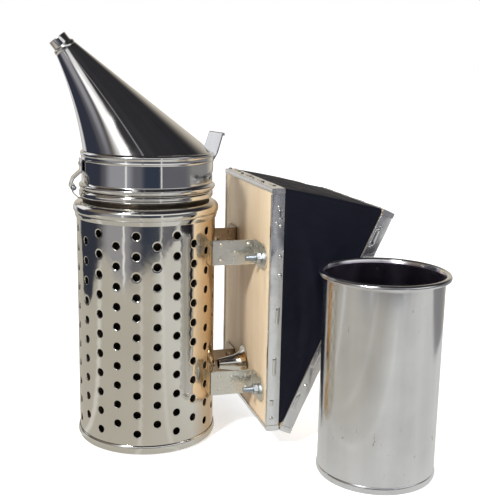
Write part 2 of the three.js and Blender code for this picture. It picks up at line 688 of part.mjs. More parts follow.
// The thumb tab: a plate bent away from the skirt, its top edge rolled outwards.
function thumbTab() {
  const foot = SKIRT_RADIUS + GAP;
  const bendX = foot + 4.2;
  const bendZ = CROWN_LEVEL - 3.2;
  const topX = bendX + TAB_LEAN;
  const topZ = bendZ + TAB_RISE;
  const shape = bentStrip([
    [foot, CROWN_LEVEL - 18], [foot, CROWN_LEVEL - 9], [bendX, bendZ], [topX, topZ],
    [topX + 1.4, topZ + 0.6], [topX + 2.6, topZ - 0.8], [topX + 2, topZ - 2.4],
  ].reverse(), TAB_THICK);
  const half = TAB_WIDTH / 2;
  return solid(crosswise(shape, -half, half).rotateZ(degrees(TAB_AZIMUTH)));
}

// ---- Lid hinge --------------------------------------------------------------------

const KNUCKLE = PIN_RADIUS + PIN_PLAY + KNUCKLE_WALL;
const PIN_X = -(SKIRT_RADIUS + LID_PLAY + SKIRT_BEAD + KNUCKLE + GAP);
const PIN_Z = LID_LEVEL + 2;

// A knuckle about the pin, from y0 to y1.
function knuckle(y0, y1) {
  const bore = PIN_RADIUS + PIN_PLAY;
  const ring = turned([[bore, y0], [KNUCKLE, y0], [KNUCKLE, y1], [bore, y1]], SIDES.bolt);
  return solid(ring.rotateX(-Math.PI / 2).translate(PIN_X, 0, PIN_Z));
}

function knuckleBore(y0, y1) {
  const bore = turned([[0, y0], [PIN_RADIUS + PIN_PLAY, y0], [PIN_RADIUS + PIN_PLAY, y1], [0, y1]],
    SIDES.bolt);
  return solid(bore.rotateX(-Math.PI / 2).translate(PIN_X, 0, PIN_Z));
}

// The lid's leaf: flat on the skirt, out over the bead, and down to its two knuckles.
function lidLeaf() {
  const skirt = LID_SHIFT - SKIRT_RADIUS - GAP;
  const half = LEAF_WIDTH / 2;
  const third = LEAF_WIDTH / 6 + GAP;
  const shape = bentStrip([
    [skirt, CROWN_LEVEL - 6], [skirt, CROWN_LEVEL - 15.5],
    [PIN_X + 0.6, PIN_Z + 6.5], [PIN_X - KNUCKLE + SHEET, PIN_Z + 1],
  ].reverse(), SHEET);
  const plate = solid(crosswise(shape, -half, half));
  const bodies = [plate, knuckle(-half, -third), knuckle(third, half)];
  const relief = block(PIN_X - 2 * KNUCKLE, PIN_X + 2 * KNUCKLE, -third, third,
    PIN_Z - 2 * KNUCKLE, PIN_Z + KNUCKLE + GAP);
  return subtractAll(addAll(bodies), [solid(relief), knuckleBore(-LEAF_WIDTH, LEAF_WIDTH)]);
}

// The pot's leaf: from its one knuckle, in under the collar, to the pot's wall.
function potLeaf() {
  const wall = -(POT_RADIUS + GAP);
  const third = LEAF_WIDTH / 6;
  const under = COLLAR_LEVEL - GAP - SHEET;
  const shape = bentStrip([
    [PIN_X - KNUCKLE + SHEET, PIN_Z - 0.5], [PIN_X + 0.2, PIN_Z - 5.5], [PIN_X + 4.4, under], [wall, under],
  ].reverse(), -SHEET);
  const plate = solid(crosswise(shape, -third, third));
  return addAll([plate, knuckle(-third, third)]).subtract(knuckleBore(-LEAF_WIDTH, LEAF_WIDTH));
}

function hingePin() {
  const half = LEAF_WIDTH / 2 + 0.8;
  const pin = turned([[0, -half], [PIN_RADIUS, -half], [PIN_RADIUS, half], [0, half]], SIDES.bolt);
  return solid(pin.rotateX(-Math.PI / 2).translate(PIN_X, 0, PIN_Z));
}

// ---- Inner can --------------------------------------------------------------------

function canWall() {
  const inner = CAN_RADIUS - THIN_SHEET;
  const middle = CAN_RADIUS + CAN_ROLL / 2;
  const roll = CAN_ROLL / 2;
  const rim = CAN_HEIGHT - roll;
  const foot = CAN_RADIUS + CAN_FOOT_BEAD;
  const shelf = CAN_FLOOR - GAP;
  const profile = [
    [foot - 1.2, 0], [foot, 0.25 * CAN_FOOT_HEIGHT], [foot, 0.7 * CAN_FOOT_HEIGHT],
    [CAN_RADIUS, CAN_FOOT_HEIGHT], [CAN_RADIUS, rim - 0.6 * roll],
  ];
  for (let i = 0; i <= 4; i += 1) {
    const angle = degrees(-45 + 45 * i);
    profile.push([middle + roll * Math.cos(angle), rim + roll * Math.sin(angle)]);
  }
  profile.push([inner, rim - 0.6 * roll], [inner, shelf], [inner - 1.6, shelf], [inner - 1.6, 0]);
  return solid(turned(profile, SIDES.wall));
}

function canFloor() {
  const radius = CAN_RADIUS - THIN_SHEET - GAP;
  const top = CAN_FLOOR + SHEET;
  const plate = [[0, CAN_FLOOR], [radius, CAN_FLOOR], [radius, top], [0, top]];
  const rings = Math.floor((radius - 4 * CAN_HOLE) / CAN_RING_STEP);
  const drills = ringDrills(CAN_HOLE, CAN_RING_STEP, Math.min(rings, 2), CAN_FLOOR - 1, top + 1);
  return subtractAll(solid(turned(plate, SIDES.wall)), drills);
}

// ---- Assembly ---------------------------------------------------------------------

const smoker = new THREE.Group();

const chamber = new THREE.Group();
chamber.add(piece('base_pan', 'polished', basePan()));
chamber.add(piece('heat_shield', 'polished', heatShield()));
chamber.add(piece('shoulder_ring', 'polished', shoulderRing()));
chamber.add(piece('fire_pot', 'polished', firePot()));
chamber.add(piece('fire_grate', 'darkened', fireGrate()));
chamber.add(piece('air_inlet', 'polished', airInlet()));
chamber.add(piece('lid_hinge_pot_leaf', 'polished', potLeaf()));
chamber.add(piece('lid_hinge_pin', 'polished', hingePin()));
smoker.add(chamber);

const fixings = new THREE.Group();
for (const [levelName, level] of Object.entries(STRAP_LEVELS)) {
  for (const [sideName, side] of Object.entries(SIDE_SIGNS)) {
    const place = `${levelName}_${sideName}`;
    fixings.add(piece(`strap_${place}`, 'tinplate', strap(side, level)));
    fixings.add(piece(`bolt_${place}`, 'zinc', bolt(side, level)));
    fixings.add(piece(`nut_${place}`, 'zinc', nut(side, level)));
  }
}
smoker.add(fixings);

function addEdgeStrips(group, boardName, out) {
  for (const [sideName, side] of Object.entries(SIDE_SIGNS)) {
    group.add(piece(`${boardName}_strip_${sideName}`, 'tinplate', sideStrip(out, side)));
  }
  group.add(piece(`${boardName}_strip_top`, 'tinplate', endStrip(out, 1)));
  group.add(piece(`${boardName}_strip_foot`, 'tinplate', endStrip(out, -1)));
}

const front = new THREE.Group();
front.position.set(BOARD_INNER, 0, BOARD_FOOT);
front.add(piece('front_board', 'wood', frontBoard()));
addEdgeStrips(front, 'front', -1);
smoker.add(front);

const back = new THREE.Group();
back.position.set(FOLD_X, 0, FOLD_Z);
back.rotation.y = OPEN;
back.add(piece('back_board', 'wood', backBoard()));
addEdgeStrips(back, 'back', 1);
back.add(piece('flap_bar', 'tinplate', flapBar()));
back.add(piece('intake_flap', 'leather', intakeFlap()));
smoker.add(back);

smoker.add(piece('air_nozzle', 'polished', airNozzle()));
smoker.add(piece('bellows_cover', 'leatherette', bellowsCover()));
smoker.add(piece('bellows_spring', 'springSteel', bellowsSpring()));

const lid = new THREE.Group();
lid.position.x = LID_SHIFT;
lid.add(piece('lid_cap', 'polished', lidCap()));
lid.add(piece('spout_cone', 'polished', spoutCone()));
lid.add(piece('spout_tube', 'polished', spoutTube()));
lid.add(piece('thumb_tab', 'polished', thumbTab()));
smoker.add(lid);
smoker.add(piece('lid_hinge_lid_leaf', 'polished', lidLeaf()));

const can = new THREE.Group();
can.position.set(CAN_ALONG, CAN_ACROSS, 0);
can.add(piece('can_wall', 'polished', canWall()));
can.add(piece('can_floor', 'polished', canFloor()));
smoker.add(can);

export default smoker;
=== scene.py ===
# %% [markdown]
# # A bee smoker, dressed piece by piece
# A beekeeper burns sacking or pine needles in the tall steel pot and squeezes the bellows, and cool
# smoke comes out of the spout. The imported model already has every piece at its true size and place,
# with its hinges. This notebook gives each piece its fine surface and its finish. It works in
# millimetres, in the model's own frame: +Z up, +X towards the bellows, and the near side is -Y.

# %% Load the frame
import json
import math
import random

import bmesh
import bpy
from mathutils import Matrix, Vector, noise

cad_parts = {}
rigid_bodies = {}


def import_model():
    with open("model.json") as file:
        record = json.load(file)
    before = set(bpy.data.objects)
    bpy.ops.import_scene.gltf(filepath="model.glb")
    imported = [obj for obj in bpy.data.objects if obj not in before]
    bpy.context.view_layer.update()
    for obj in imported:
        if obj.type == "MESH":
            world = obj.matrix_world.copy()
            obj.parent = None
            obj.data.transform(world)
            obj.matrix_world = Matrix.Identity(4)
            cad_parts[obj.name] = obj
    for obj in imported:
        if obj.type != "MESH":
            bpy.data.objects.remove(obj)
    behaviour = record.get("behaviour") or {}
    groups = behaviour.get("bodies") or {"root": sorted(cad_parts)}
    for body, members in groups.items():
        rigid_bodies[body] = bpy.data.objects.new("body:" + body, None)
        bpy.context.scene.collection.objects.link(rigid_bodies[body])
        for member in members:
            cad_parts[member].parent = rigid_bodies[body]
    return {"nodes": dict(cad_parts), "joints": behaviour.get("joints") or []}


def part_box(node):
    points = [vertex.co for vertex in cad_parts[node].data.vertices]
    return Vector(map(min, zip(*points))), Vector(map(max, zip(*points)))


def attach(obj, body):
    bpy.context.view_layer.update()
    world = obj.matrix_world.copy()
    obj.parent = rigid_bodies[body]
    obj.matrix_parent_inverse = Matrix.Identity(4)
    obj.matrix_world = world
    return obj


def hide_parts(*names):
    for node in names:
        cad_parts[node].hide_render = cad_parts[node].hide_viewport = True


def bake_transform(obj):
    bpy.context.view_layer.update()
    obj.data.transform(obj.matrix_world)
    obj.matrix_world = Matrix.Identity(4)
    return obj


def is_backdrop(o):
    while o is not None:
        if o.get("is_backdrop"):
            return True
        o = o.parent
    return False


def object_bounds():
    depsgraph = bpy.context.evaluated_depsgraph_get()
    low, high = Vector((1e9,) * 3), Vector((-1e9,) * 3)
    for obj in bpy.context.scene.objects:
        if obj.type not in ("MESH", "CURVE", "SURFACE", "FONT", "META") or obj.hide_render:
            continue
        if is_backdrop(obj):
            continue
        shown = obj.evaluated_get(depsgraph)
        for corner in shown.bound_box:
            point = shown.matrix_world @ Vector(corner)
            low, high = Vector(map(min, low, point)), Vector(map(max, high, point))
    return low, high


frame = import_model()
cad_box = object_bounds()
MM = 0.001
size = [round((high - low) / MM, 1) for low, high in zip(*cad_box)]
print("pieces in the frame:", len(frame["nodes"]), "overall size in mm:", size)

# %% [markdown]
# ## Reading places from the frame
# A piece goes where its node's box is, and a box gives heights and ends exactly. Radii, and sizes that
# a box can't show, such as the curve of a bead, are given in millimetres.

# %% Places of the main pieces
def corners(node):
    """A node's lowest and highest corner, in millimetres."""
    low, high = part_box(node)
    return Vector(low) / MM, Vector(high) / MM


shield_low, shield_high = corners("heat_shield")
lid_low, lid_high = corners("lid_cap")
pot_low, pot_high = corners("fire_pot")
can_low, can_high = corners("can_wall")
front_low, front_high = corners("front_board")

SHIELD_RADIUS = 55.0
SHIELD_FOOT, SHIELD_TOP = shield_low.z, shield_high.z
POT_RADIUS = 49.5
POT_FOOT, POT_TOP = pot_low.z, pot_high.z
LID_FOOT, LID_CROWN = lid_low.z, lid_high.z
LID_X = (lid_low.x + lid_high.x) / 2
CAN_X, CAN_Y = (can_low.x + can_high.x) / 2, (can_low.y + can_high.y) / 2
BOARD_FACE, BOARD_INNER = front_low.x, front_high.x
BOARD_FOOT, BOARD_HEIGHT = front_low.z, front_high.z - front_low.z
HALF_WIDTH = (front_high.y - front_low.y) / 2
BOARD_THICK = BOARD_INNER - BOARD_FACE
AIR_HEIGHT = 51.5
GAP = 0.3
SHEET = 0.8
THIN = 0.6
print("shield", SHIELD_FOOT, SHIELD_TOP, "lid", LID_FOOT, LID_CROWN, "board", BOARD_FACE, BOARD_INNER)

# %% [markdown]
# The back board turns on a line at the boards' foot. Its own frame starts on that line, with z along
# the board and x through the wood, so that a strip or a nail can be placed on it as on a board that
# stands upright.

# %% The back board's frame
OPEN = math.radians(24.8)
FOLD_X, FOLD_Z = 94.6, 16.9
hinge = next(joint for joint in frame["joints"] if joint["name"] == "bellows_squeeze")
print("hinge line of the boards:", {key: hinge[key] for key in hinge if key in ("pos_m", "pos", "axis")})


def on_front(x, y, z):
    """A point of the front board's frame (x = 0 on the inner face), in the smoker's."""
    return (BOARD_INNER + x, y, BOARD_FOOT + z)


def on_back(x, y, z):
    """A point of the back board's frame (x = 0 on the inner face), in the smoker's."""
    cosine, sine = math.cos(OPEN), math.sin(OPEN)
    return (FOLD_X + x * cosine + z * sine, y, FOLD_Z - x * sine + z * cosine)


def linked(name, data):
    """A new object with this data, in the scene."""
    made = bpy.data.objects.new(name, data)
    bpy.context.collection.objects.link(made)
    return made


# %% [markdown]
# ## The camera, the table and the light
# A long lens at a little above lid height looks down on the smoker by about twelve degrees. Polished
# steel shows its surroundings rather than itself, so the room matters more than the lamps: a pale
# table, a dim room beyond it, and soft bright windows and backdrops round it. Only reflections see
# that room. Everything else sees a plain pale one.

# %% Camera
LENS = 62.4
CAMERA_AT = (-0.1211, -0.6772, 0.2960)
TURN, PITCH, ROLL = math.radians(73.57), math.radians(11.73), math.radians(1.11)
ahead = Vector((math.cos(TURN) * math.cos(PITCH), math.sin(TURN) * math.cos(PITCH), -math.sin(PITCH)))
level = Vector((math.sin(TURN), -math.cos(TURN), 0))
upright = level.cross(ahead)
right = math.cos(ROLL) * level + math.sin(ROLL) * upright
over = math.cos(ROLL) * upright - math.sin(ROLL) * level
camera = linked("camera", bpy.data.cameras.new("camera"))
camera.data.lens, camera.data.sensor_width = LENS, 36
facing_ahead = Matrix((right, over, -ahead)).transposed().to_4x4()
camera.matrix_world = Matrix.Translation(CAMERA_AT) @ facing_ahead
bpy.context.scene.camera = camera
bpy.context.scene.view_settings.view_transform = "Standard"
print("camera looks along", [round(c, 3) for c in ahead])


# %% [markdown]
# Node trees take many short lines, so a few helpers keep them readable. One adds a node and sets or
# links its inputs. A Number wraps a socket, so that sums in a tree are written as plain arithmetic.

# %% Helpers for node trees
class Number:
    """A number in a node tree. Each sum of it adds a Math node."""

    def __init__(self, socket):
        self.socket = socket

    def do(self, operation, *others):
        """The result of a Math node on this number and others."""
        values = dict(enumerate((self, *others)))
        return Number(add(self.socket.id_data, "ShaderNodeMath", values, operation=operation).outputs[0])

    def __add__(self, other):
        return self.do("ADD", other)

    def __sub__(self, other):
        return self.do("SUBTRACT", other)

    def __mul__(self, other):
        return self.do("MULTIPLY", other)

    def __truediv__(self, other):
        return self.do("DIVIDE", other)


def feed(socket, value):
    """Links an input to a node, a socket or a Number, or sets it to a plain value."""
    if isinstance(value, Number):
        value = value.socket
    if isinstance(value, bpy.types.Node):
        value = value.outputs[0]
    if isinstance(value, bpy.types.NodeSocket):
        socket.id_data.links.new(value, socket)
    else:
        socket.default_value = value


def add(tree, kind, values=None, **settings):
    """A new node in a tree, with its settings and its inputs set or linked."""
    node = tree.nodes.new(kind)
    for key, value in settings.items():
        setattr(node, key, value)
    for key, value in (values or {}).items():
        feed(node.inputs[key], value)
    return node


def parts_of(vector):
    """The three values of a vector's socket."""
    return [Number(value) for value in add(vector.id_data, "ShaderNodeSeparateXYZ", {0: vector}).outputs]


def spread(value, low, high, start=0.3, end=0.7, kind="LINEAR"):
    """A value's range from start to end, carried to low and high."""
    ends = {"Value": value, "From Min": start, "From Max": end, "To Min": low, "To Max": high}
    made = add(value.socket.id_data, "ShaderNodeMapRange", ends, interpolation_type=kind)
    return Number(made.outputs["Result"])


def tinted(factor, one, other):
    """A colour between two. Each is three values or another node's result."""
    first, second = [(*colour, 1) if isinstance(colour, tuple) else colour for colour in (one, other)]
    tree = factor.socket.id_data
    return add(tree, "ShaderNodeMix", {0: factor, 6: first, 7: second}, data_type="RGBA").outputs[2]


def turn_from(compass, middle):
    """How far a compass angle is from a middle, in degrees either way."""
    return (compass - middle).do("WRAP", 180.0, -180.0).do("ABSOLUTE")


# %% [markdown]
# The room in the reflections is built from soft-edged patches, and one lies over the next. Each row has
# a middle direction, a half size and a softness, all of them a compass angle and a rise in degrees in
# the smoker's frame, and then a colour.

# %% The room that the steel reflects
PATCHES = [
    ((-100, -8), (70, 10), (30, 10), (0.13, 0.13, 0.15)),
    ((-150, -8), (14, 10), (16, 8), (0.32, 0.32, 0.35)),
    ((-92, -7), (10, 10), (12, 8), (0.035, 0.045, 0.07)),
    ((150, -8), (16, 10), (10, 8), (0.035, 0.04, 0.06)),
    ((86, -6), (30, 8), (12, 8), (0.72, 0.75, 0.80)),
    ((14, -8), (28, 12), (18, 8), (0.24, 0.24, 0.24)),
    ((-100, 21), (62, 5), (30, 7), (0.85, 0.85, 0.85)),
    ((-137, -8), (0.6, 12), (1.6, 8), (0.9, 0.9, 0.9)),
    ((-76, -8), (0.5, 12), (1.4, 8), (0.8, 0.8, 0.8)),
    ((-140, 44), (3.0, 24), (9.0, 12), (1.5, 1.5, 1.5)),
    ((-108, 44), (0.5, 24), (1.6, 12), (0.3, 0.3, 0.3)),
    ((178, 30), (16, 12), (22, 14), (0.20, 0.17, 0.14)),
    ((72, 2), (20, 9), (30, 34), (0.60, 0.55, 0.47)),
    ((130, 22), (12, 10), (10, 8), (0.95, 0.95, 0.97)),
]
PLAIN_ROOM = 0.66
world = bpy.data.worlds.new("studio")
world.use_nodes = True
bpy.context.scene.world = world
room = world.node_tree
room.nodes.clear()
looking = add(room, "ShaderNodeTexCoord").outputs["Generated"]
east, north, height = parts_of(looking)
compass = north.do("ARCTAN2", east) * (180 / math.pi)
rise = height.do("ARCSINE") * (180 / math.pi)


def patch(under, middle, half, soft, colour):
    """A soft-edged patch of colour over what is under it."""
    apart = (turn_from(compass, middle[0]), (rise - middle[1]).do("ABSOLUTE"))
    cover = [spread(a, 1.0, 0.0, h, h + s, "SMOOTHSTEP") for a, h, s in zip(apart, half, soft)]
    return tinted(cover[0] * cover[1], under, colour)


clouds = add(room, "ShaderNodeTexNoise", {"Vector": looking, "Scale": 2.2, "Detail": 3.0, "Roughness": 0.5})
dim = tinted(Number(clouds.outputs[0]), (0.008, 0.009, 0.013), (0.055, 0.052, 0.058))
for row in PATCHES:
    dim = patch(dim, *row)
plain, seen, mirrored = [
    add(room, "ShaderNodeBackground", {"Color": colour, "Strength": strength})
    for colour, strength in (((1, 1, 1, 1), PLAIN_ROOM), ((1, 1, 1, 1), 1.0), (dim, 1.0))
]
ray = add(room, "ShaderNodeLightPath").outputs
both = add(room, "ShaderNodeMixShader", {0: ray["Is Glossy Ray"], 1: plain, 2: mirrored})
all_three = add(room, "ShaderNodeMixShader", {0: ray["Is Camera Ray"], 1: both, 2: seen})
add(room, "ShaderNodeOutputWorld", {"Surface": all_three})
print("room nodes:", len(room.nodes))


# %% [markdown]
# The lamps are area lamps. The key comes from the front left and above, and throws the pot's shadow
# across the far half of the front board. A wide fill keeps the shadows open.

# %% Lamps
MIDDLE = Vector((0.06, -0.02, 0.13))


def lamp(name, azimuth, elevation, distance, size, power, tint=(1, 1, 1)):
    """A square area lamp that looks at the middle of the smoker."""
    a, e = math.radians(azimuth), math.radians(elevation)
    towards = Vector((math.cos(a) * math.cos(e), math.sin(a) * math.cos(e), math.sin(e)))
    made = linked(name, bpy.data.lights.new(name, "AREA"))
    made.data.energy, made.data.size, made.data.color = power, size, tint
    turned = towards.to_track_quat("Z", "Y").to_matrix().to_4x4()
    made.matrix_world = Matrix.Translation(MIDDLE + distance * towards) @ turned
    return made


lamp("key", -139, 38, 1.6, 0.22, 24)
lamp("fill", -40, 35, 2.0, 1.4, 14, (1.0, 0.98, 0.95)).visible_glossy = False


# %% [markdown]
# The floor is a wide pale sheet that glows a little, so that it is white out to its far edge.
# Reflections see a second table in its place. It ends unevenly at the distances that a small table
# would, so that the polished wall turns from pale to dim half way up, and a few paler streaks run out
# across it.

# %% Floor and mirrored table
SIDE = 60.0
FLOOR_GREY, FLOOR_GLOW = 0.93, 0.5
TABLE_EDGE = [
    (-180, 0.72), (-172, 0.80), (-160, 0.74), (-150, 0.64), (-135, 0.60), (-112, 0.66), (-98, 0.72),
    (-76, 0.76), (-62, 0.86), (-45, 1.15), (-28, 1.15), (-14, 0.5), (40, 0.5), (60, 1.6), (110, 1.6),
    (128, 0.9), (138, 0.5), (160, 0.48), (170, 0.62), (180, 0.72),
]
STREAKS = [(180.0, 3.5, 0.35), (-108.0, 2.0, 0.2), (-74.0, 2.0, 0.18)]
WARM_TABLE, COOL_TABLE = (0.47, 0.45, 0.40), (0.62, 0.62, 0.60)


def stage_piece(name, points, base, glow_colour, glow):
    """A flat stage piece from its outline in metres, with a base colour and a glow."""
    mesh = bpy.data.meshes.new(name)
    mesh.from_pydata(points, [], [tuple(range(len(points)))])
    made = linked(name, mesh)
    finish = bpy.data.materials.new(name)
    finish.use_nodes = True
    skin = finish.node_tree.nodes["Principled BSDF"].inputs
    skin["Base Color"].default_value, skin["Roughness"].default_value = (*base, 1), 0.9
    skin["Emission Color"].default_value, skin["Emission Strength"].default_value = (*glow_colour, 1), glow
    mesh.materials.append(finish)
    made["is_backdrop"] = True
    return made


def table_reach(azimuth):
    """How far out the table ends in a direction."""
    before = max(end for end in TABLE_EDGE if end[0] <= azimuth)
    after = min(end for end in TABLE_EDGE if end[0] > azimuth)
    t = (azimuth - before[0]) / (after[0] - before[0])
    return before[1] + (after[1] - before[1]) * t * t * (3 - 2 * t)


pale = (FLOOR_GREY,) * 3
square = [(-SIDE, -SIDE, 0), (SIDE, -SIDE, 0), (SIDE, SIDE, 0), (-SIDE, SIDE, 0)]
stage_piece("floor", square, pale, pale, FLOOR_GLOW).visible_glossy = False
rim = []
for azimuth in range(-180, 180, 2):
    a, reach = math.radians(azimuth), table_reach(azimuth)
    rim.append((reach * math.cos(a), reach * math.sin(a), -0.0002))
table = stage_piece("mirrored_table", rim, (0, 0, 0), WARM_TABLE, 1.0)
shader = table.data.materials[0].node_tree
x, y, _ = parts_of(add(shader, "ShaderNodeTexCoord").outputs["Object"])
graded = tinted(spread(x, 0, 1, -0.03, 0.12), WARM_TABLE, COOL_TABLE)
around = y.do("ARCTAN2", x) * (180 / math.pi)
for middle, half, share in STREAKS:
    lit = spread(turn_from(around, middle), share, 0.0, half / 3, 2 * half, "SMOOTHSTEP")
    graded = tinted(lit, graded, (1, 1, 1))
feed(shader.nodes["Principled BSDF"].inputs["Emission Color"], graded)
table.visible_camera = table.visible_diffuse = table.visible_shadow = False
table.visible_transmission = False
print("table edge from", min(e[1] for e in TABLE_EDGE), "to", max(e[1] for e in TABLE_EDGE), "m")

# %% [markdown]
# ## Finishes
# Every finish is procedural and reads Object coordinates, so it has the same scale on every piece and
# needs no unwrapping. Each is a few noises: one for colour, one for gloss and one for relief.

# %% Helpers for finishes
def new_finish(name, metal=1.0):
    """A material with its shader and the place on the object."""
    finish = bpy.data.materials.new(name)
    finish.use_nodes = True
    skin = finish.node_tree.nodes["Principled BSDF"]
    skin.inputs["Metallic"].default_value = metal
    return finish, skin, add(finish.node_tree, "ShaderNodeTexCoord").outputs["Object"]


def painted(skin, colour, gloss, bump):
    """Gives a shader its colour, its roughness and its bump."""
    for label, value in (("Base Color", colour), ("Roughness", gloss), ("Normal", bump)):
        feed(skin.inputs[label], value)


def mottle(where, scale, detail=3.0, stretch=(1, 1, 1), distortion=0.0):
    """Noise from 0 to 1, finer with a larger scale and squeezed along the larger stretches."""
    place = add(where.id_data, "ShaderNodeMapping", {"Vector": where, "Scale": stretch})
    values = {"Vector": place, "Scale": scale, "Detail": detail, "Distortion": distortion}
    return Number(add(where.id_data, "ShaderNodeTexNoise", values).outputs[0])


def relief(height, depth, below=None):
    """A bump of a depth in millimetres, over another one."""
    values = {"Height": height, "Strength": 1.0, "Distance": depth * MM}
    if below is not None:
        values["Normal"] = below
    return add(height.socket.id_data, "ShaderNodeBump", values).outputs[0]


# %% [markdown]
# Polished stainless steel: a mirror that is never quite flat. A slow wave bends the reflections, a
# faint smear of handling varies the gloss, and fine hairlines run round the piece. On the shield and
# its beads the side towards the bellows is painted a warm wood colour: a painted reflection of the
# wooden front board that faces it.

# %% Steel finishes
HAIRLINE = 0.0006
# The warm wood colour of the painted board reflection.
PAINTED_BOARD_REFLECTION = (0.66, 0.44, 0.21)


def steel(name, tint, gloss, wave, wave_scale, smear=0.06, board_reflection=0.0):
    """Polished sheet steel. Gloss is the lowest and highest roughness, wave a depth in mm."""
    finish, skin, where = new_finish(name)
    worn = (tint[0] * (1 - smear), tint[1] * (1 - smear), tint[2] * (1 - 1.3 * smear))
    base = tinted(spread(mottle(where, 22, 4.0), 0, 1), tint, worn)
    # Painted reflection: from x = 28 to 46 mm towards the bellows the steel is tinted warm, for the wooden
    # board it faces.
    if board_reflection:
        base = tinted(spread(parts_of(where)[0], 0, board_reflection, 0.028, 0.046), base, PAINTED_BOARD_REFLECTION)
    wiped = spread(mottle(where, 60, 5.0, (1, 1, 0.4), 0.6), *gloss)
    lines = relief(mottle(where, 900, 2.0, (1, 1, 6)), HAIRLINE)
    painted(skin, base, wiped, relief(mottle(where, wave_scale, 1.5), wave, lines))
    return finish


shield_steel = steel("shield_steel", (0.86, 0.83, 0.77), (0.05, 0.13), 0.16, 26, board_reflection=1.0)
lid_steel = steel("lid_steel", (0.85, 0.84, 0.83), (0.04, 0.11), 0.03, 30, 0.05)
bead_steel = steel("bead_steel", (0.86, 0.84, 0.80), (0.05, 0.12), 0.04, 40, 0.05, board_reflection=0.6)
nozzle_steel = steel("nozzle_steel", (0.80, 0.76, 0.70), (0.08, 0.16), 0.03, 60, 0.08)
tab_steel = steel("tab_steel", (0.80, 0.81, 0.83), (0.16, 0.26), 0.03, 60, 0.05)
print("steels:", [m.name for m in bpy.data.materials if m.name.endswith("steel")])

# %% [markdown]
# The inner can is satin rather than bright, with small scuffs: short dark specks where it was knocked.
# Its inside, nearer the axis than the middle of the wall, is painted a darker, duller violet-grey, as painted
# shade inside the can.

# %% The can's steel
CAN_INSIDE = 43.8
can_steel, skin, where = new_finish("can_steel")
scuffs = spread(mottle(where, 330, 2.0, (1, 1, 0.45), 0.8), 0, 1, 0.68, 0.73)
speck = scuffs * spread(mottle(where, 21, 2.0), 0, 0.8, 0.52, 0.62)
cloud = mottle(where, 26, 4.0) * mottle(where, 62, 3.0, (1, 1, 0.05))
satin = tinted(spread(cloud, 0, 1, 0.12, 0.38), (0.86, 0.86, 0.87), (0.73, 0.73, 0.74))
outer = tinted(speck, satin, (0.35, 0.33, 0.30))
to_axis = {"Vector": where, "Location": (-CAN_X * MM, -CAN_Y * MM, 0), "Scale": (1, 1, 0)}
away = add(where.id_data, "ShaderNodeMapping", to_axis)
reach = Number(add(where.id_data, "ShaderNodeVectorMath", {0: away}, operation="LENGTH").outputs["Value"])
# Painted shade: the wall's inner face is tinted dark violet-grey.
painted_shade_inside = spread(reach, 1, 0, (CAN_INSIDE - 0.05) * MM, (CAN_INSIDE + 0.05) * MM)
gloss = spread(mottle(where, 70, 5.0, (1, 1, 0.3), 0.5), 0.12, 0.2) + speck * 0.3
hair = relief(mottle(where, 700, 2.0, (1, 1, 5)), 0.001)
painted(skin, tinted(painted_shade_inside, outer, (0.52, 0.48, 0.57)), gloss, relief(mottle(where, 24, 1.5), 0.06, hair))
print("can finish nodes:", len(where.id_data.nodes))

# %% [markdown]
# The grate has seen fire, so it is dull and dark. The near straps are satin tinplate with brown specks.
# The far straps get a darker brown copy of the same tinplate, as painted shade: they stand in the pot's
# shade and reflect the shaded board. Bolts and nuts are bright zinc, and the edge strips thin
# crinkled tinplate.

# %% Tinplate, zinc and fired iron
def dull_metal(name, tint, stain, gloss, speckle, crinkle, crinkle_scale):
    """Satin sheet: stains of a second colour, a varied gloss and a crinkle of a depth in mm."""
    finish, skin, where = new_finish(name)
    patchy = spread(mottle(where, 45, 5.0, (1, 1, 1), 0.3), 0, 0.55, 0.42, 0.75)
    spotted = spread(mottle(where, 420, 3.0), 0, 1, 0.62, 0.72) * speckle
    base = tinted(spotted, tinted(patchy, tint, stain), tuple(0.35 * c for c in stain))
    grain = relief(mottle(where, 1500, 2.0), 0.004)
    bump = relief(mottle(where, crinkle_scale, 2.0), crinkle, grain)
    painted(skin, base, spread(mottle(where, 130, 5.0), *gloss), bump)
    return finish


strap_tin = dull_metal("strap_tin", (0.80, 0.78, 0.71), (0.66, 0.61, 0.51), (0.22, 0.36), 0.1, 0.04, 50)
edge_tin = dull_metal("edge_tin", (0.91, 0.92, 0.93), (0.84, 0.84, 0.83), (0.16, 0.28), 0.06, 0.1, 45)
bright_zinc = dull_metal("bright_zinc", (0.50, 0.56, 0.62), (0.40, 0.42, 0.44), (0.28, 0.42), 0.2, 0.01, 200)
staple_wire = dull_metal("staple_wire", (0.84, 0.84, 0.83), (0.6, 0.57, 0.52), (0.12, 0.24), 0.2, 0.01, 300)
fired_iron = dull_metal("fired_iron", (0.24, 0.20, 0.17), (0.10, 0.07, 0.05), (0.45, 0.7), 0.6, 0.06, 120)
# Painted shade: a darker brown copy of the strap tinplate, for the far straps in the pot's shade.
strap_brown = dull_metal("strap_brown", (0.42, 0.33, 0.24), (0.30, 0.22, 0.15), (0.24, 0.4), 0.2, 0.04, 50)
spring_wire = dull_metal("spring_wire", (0.52, 0.52, 0.50), (0.33, 0.30, 0.27), (0.25, 0.4), 0.3, 0.01, 200)
print("dull metals:", strap_tin.name, edge_tin.name, bright_zinc.name, fired_iron.name)

# %% [markdown]
# The pot's rim, above the shield, shows its bare polished steel. Below it the wall is painted near
# black, as painted shade: it stands in deep shade behind the shield and shows only through its holes.
# One finish does both: its colour and its gloss change with height.

# %% The pot's steel
SHADE_PAINTED_BELOW = SHIELD_TOP + 7.2
pot_steel, skin, where = new_finish("pot_steel")
unshaded = spread(parts_of(where)[2], 0, 1, (SHADE_PAINTED_BELOW - 0.6) * MM, SHADE_PAINTED_BELOW * MM)
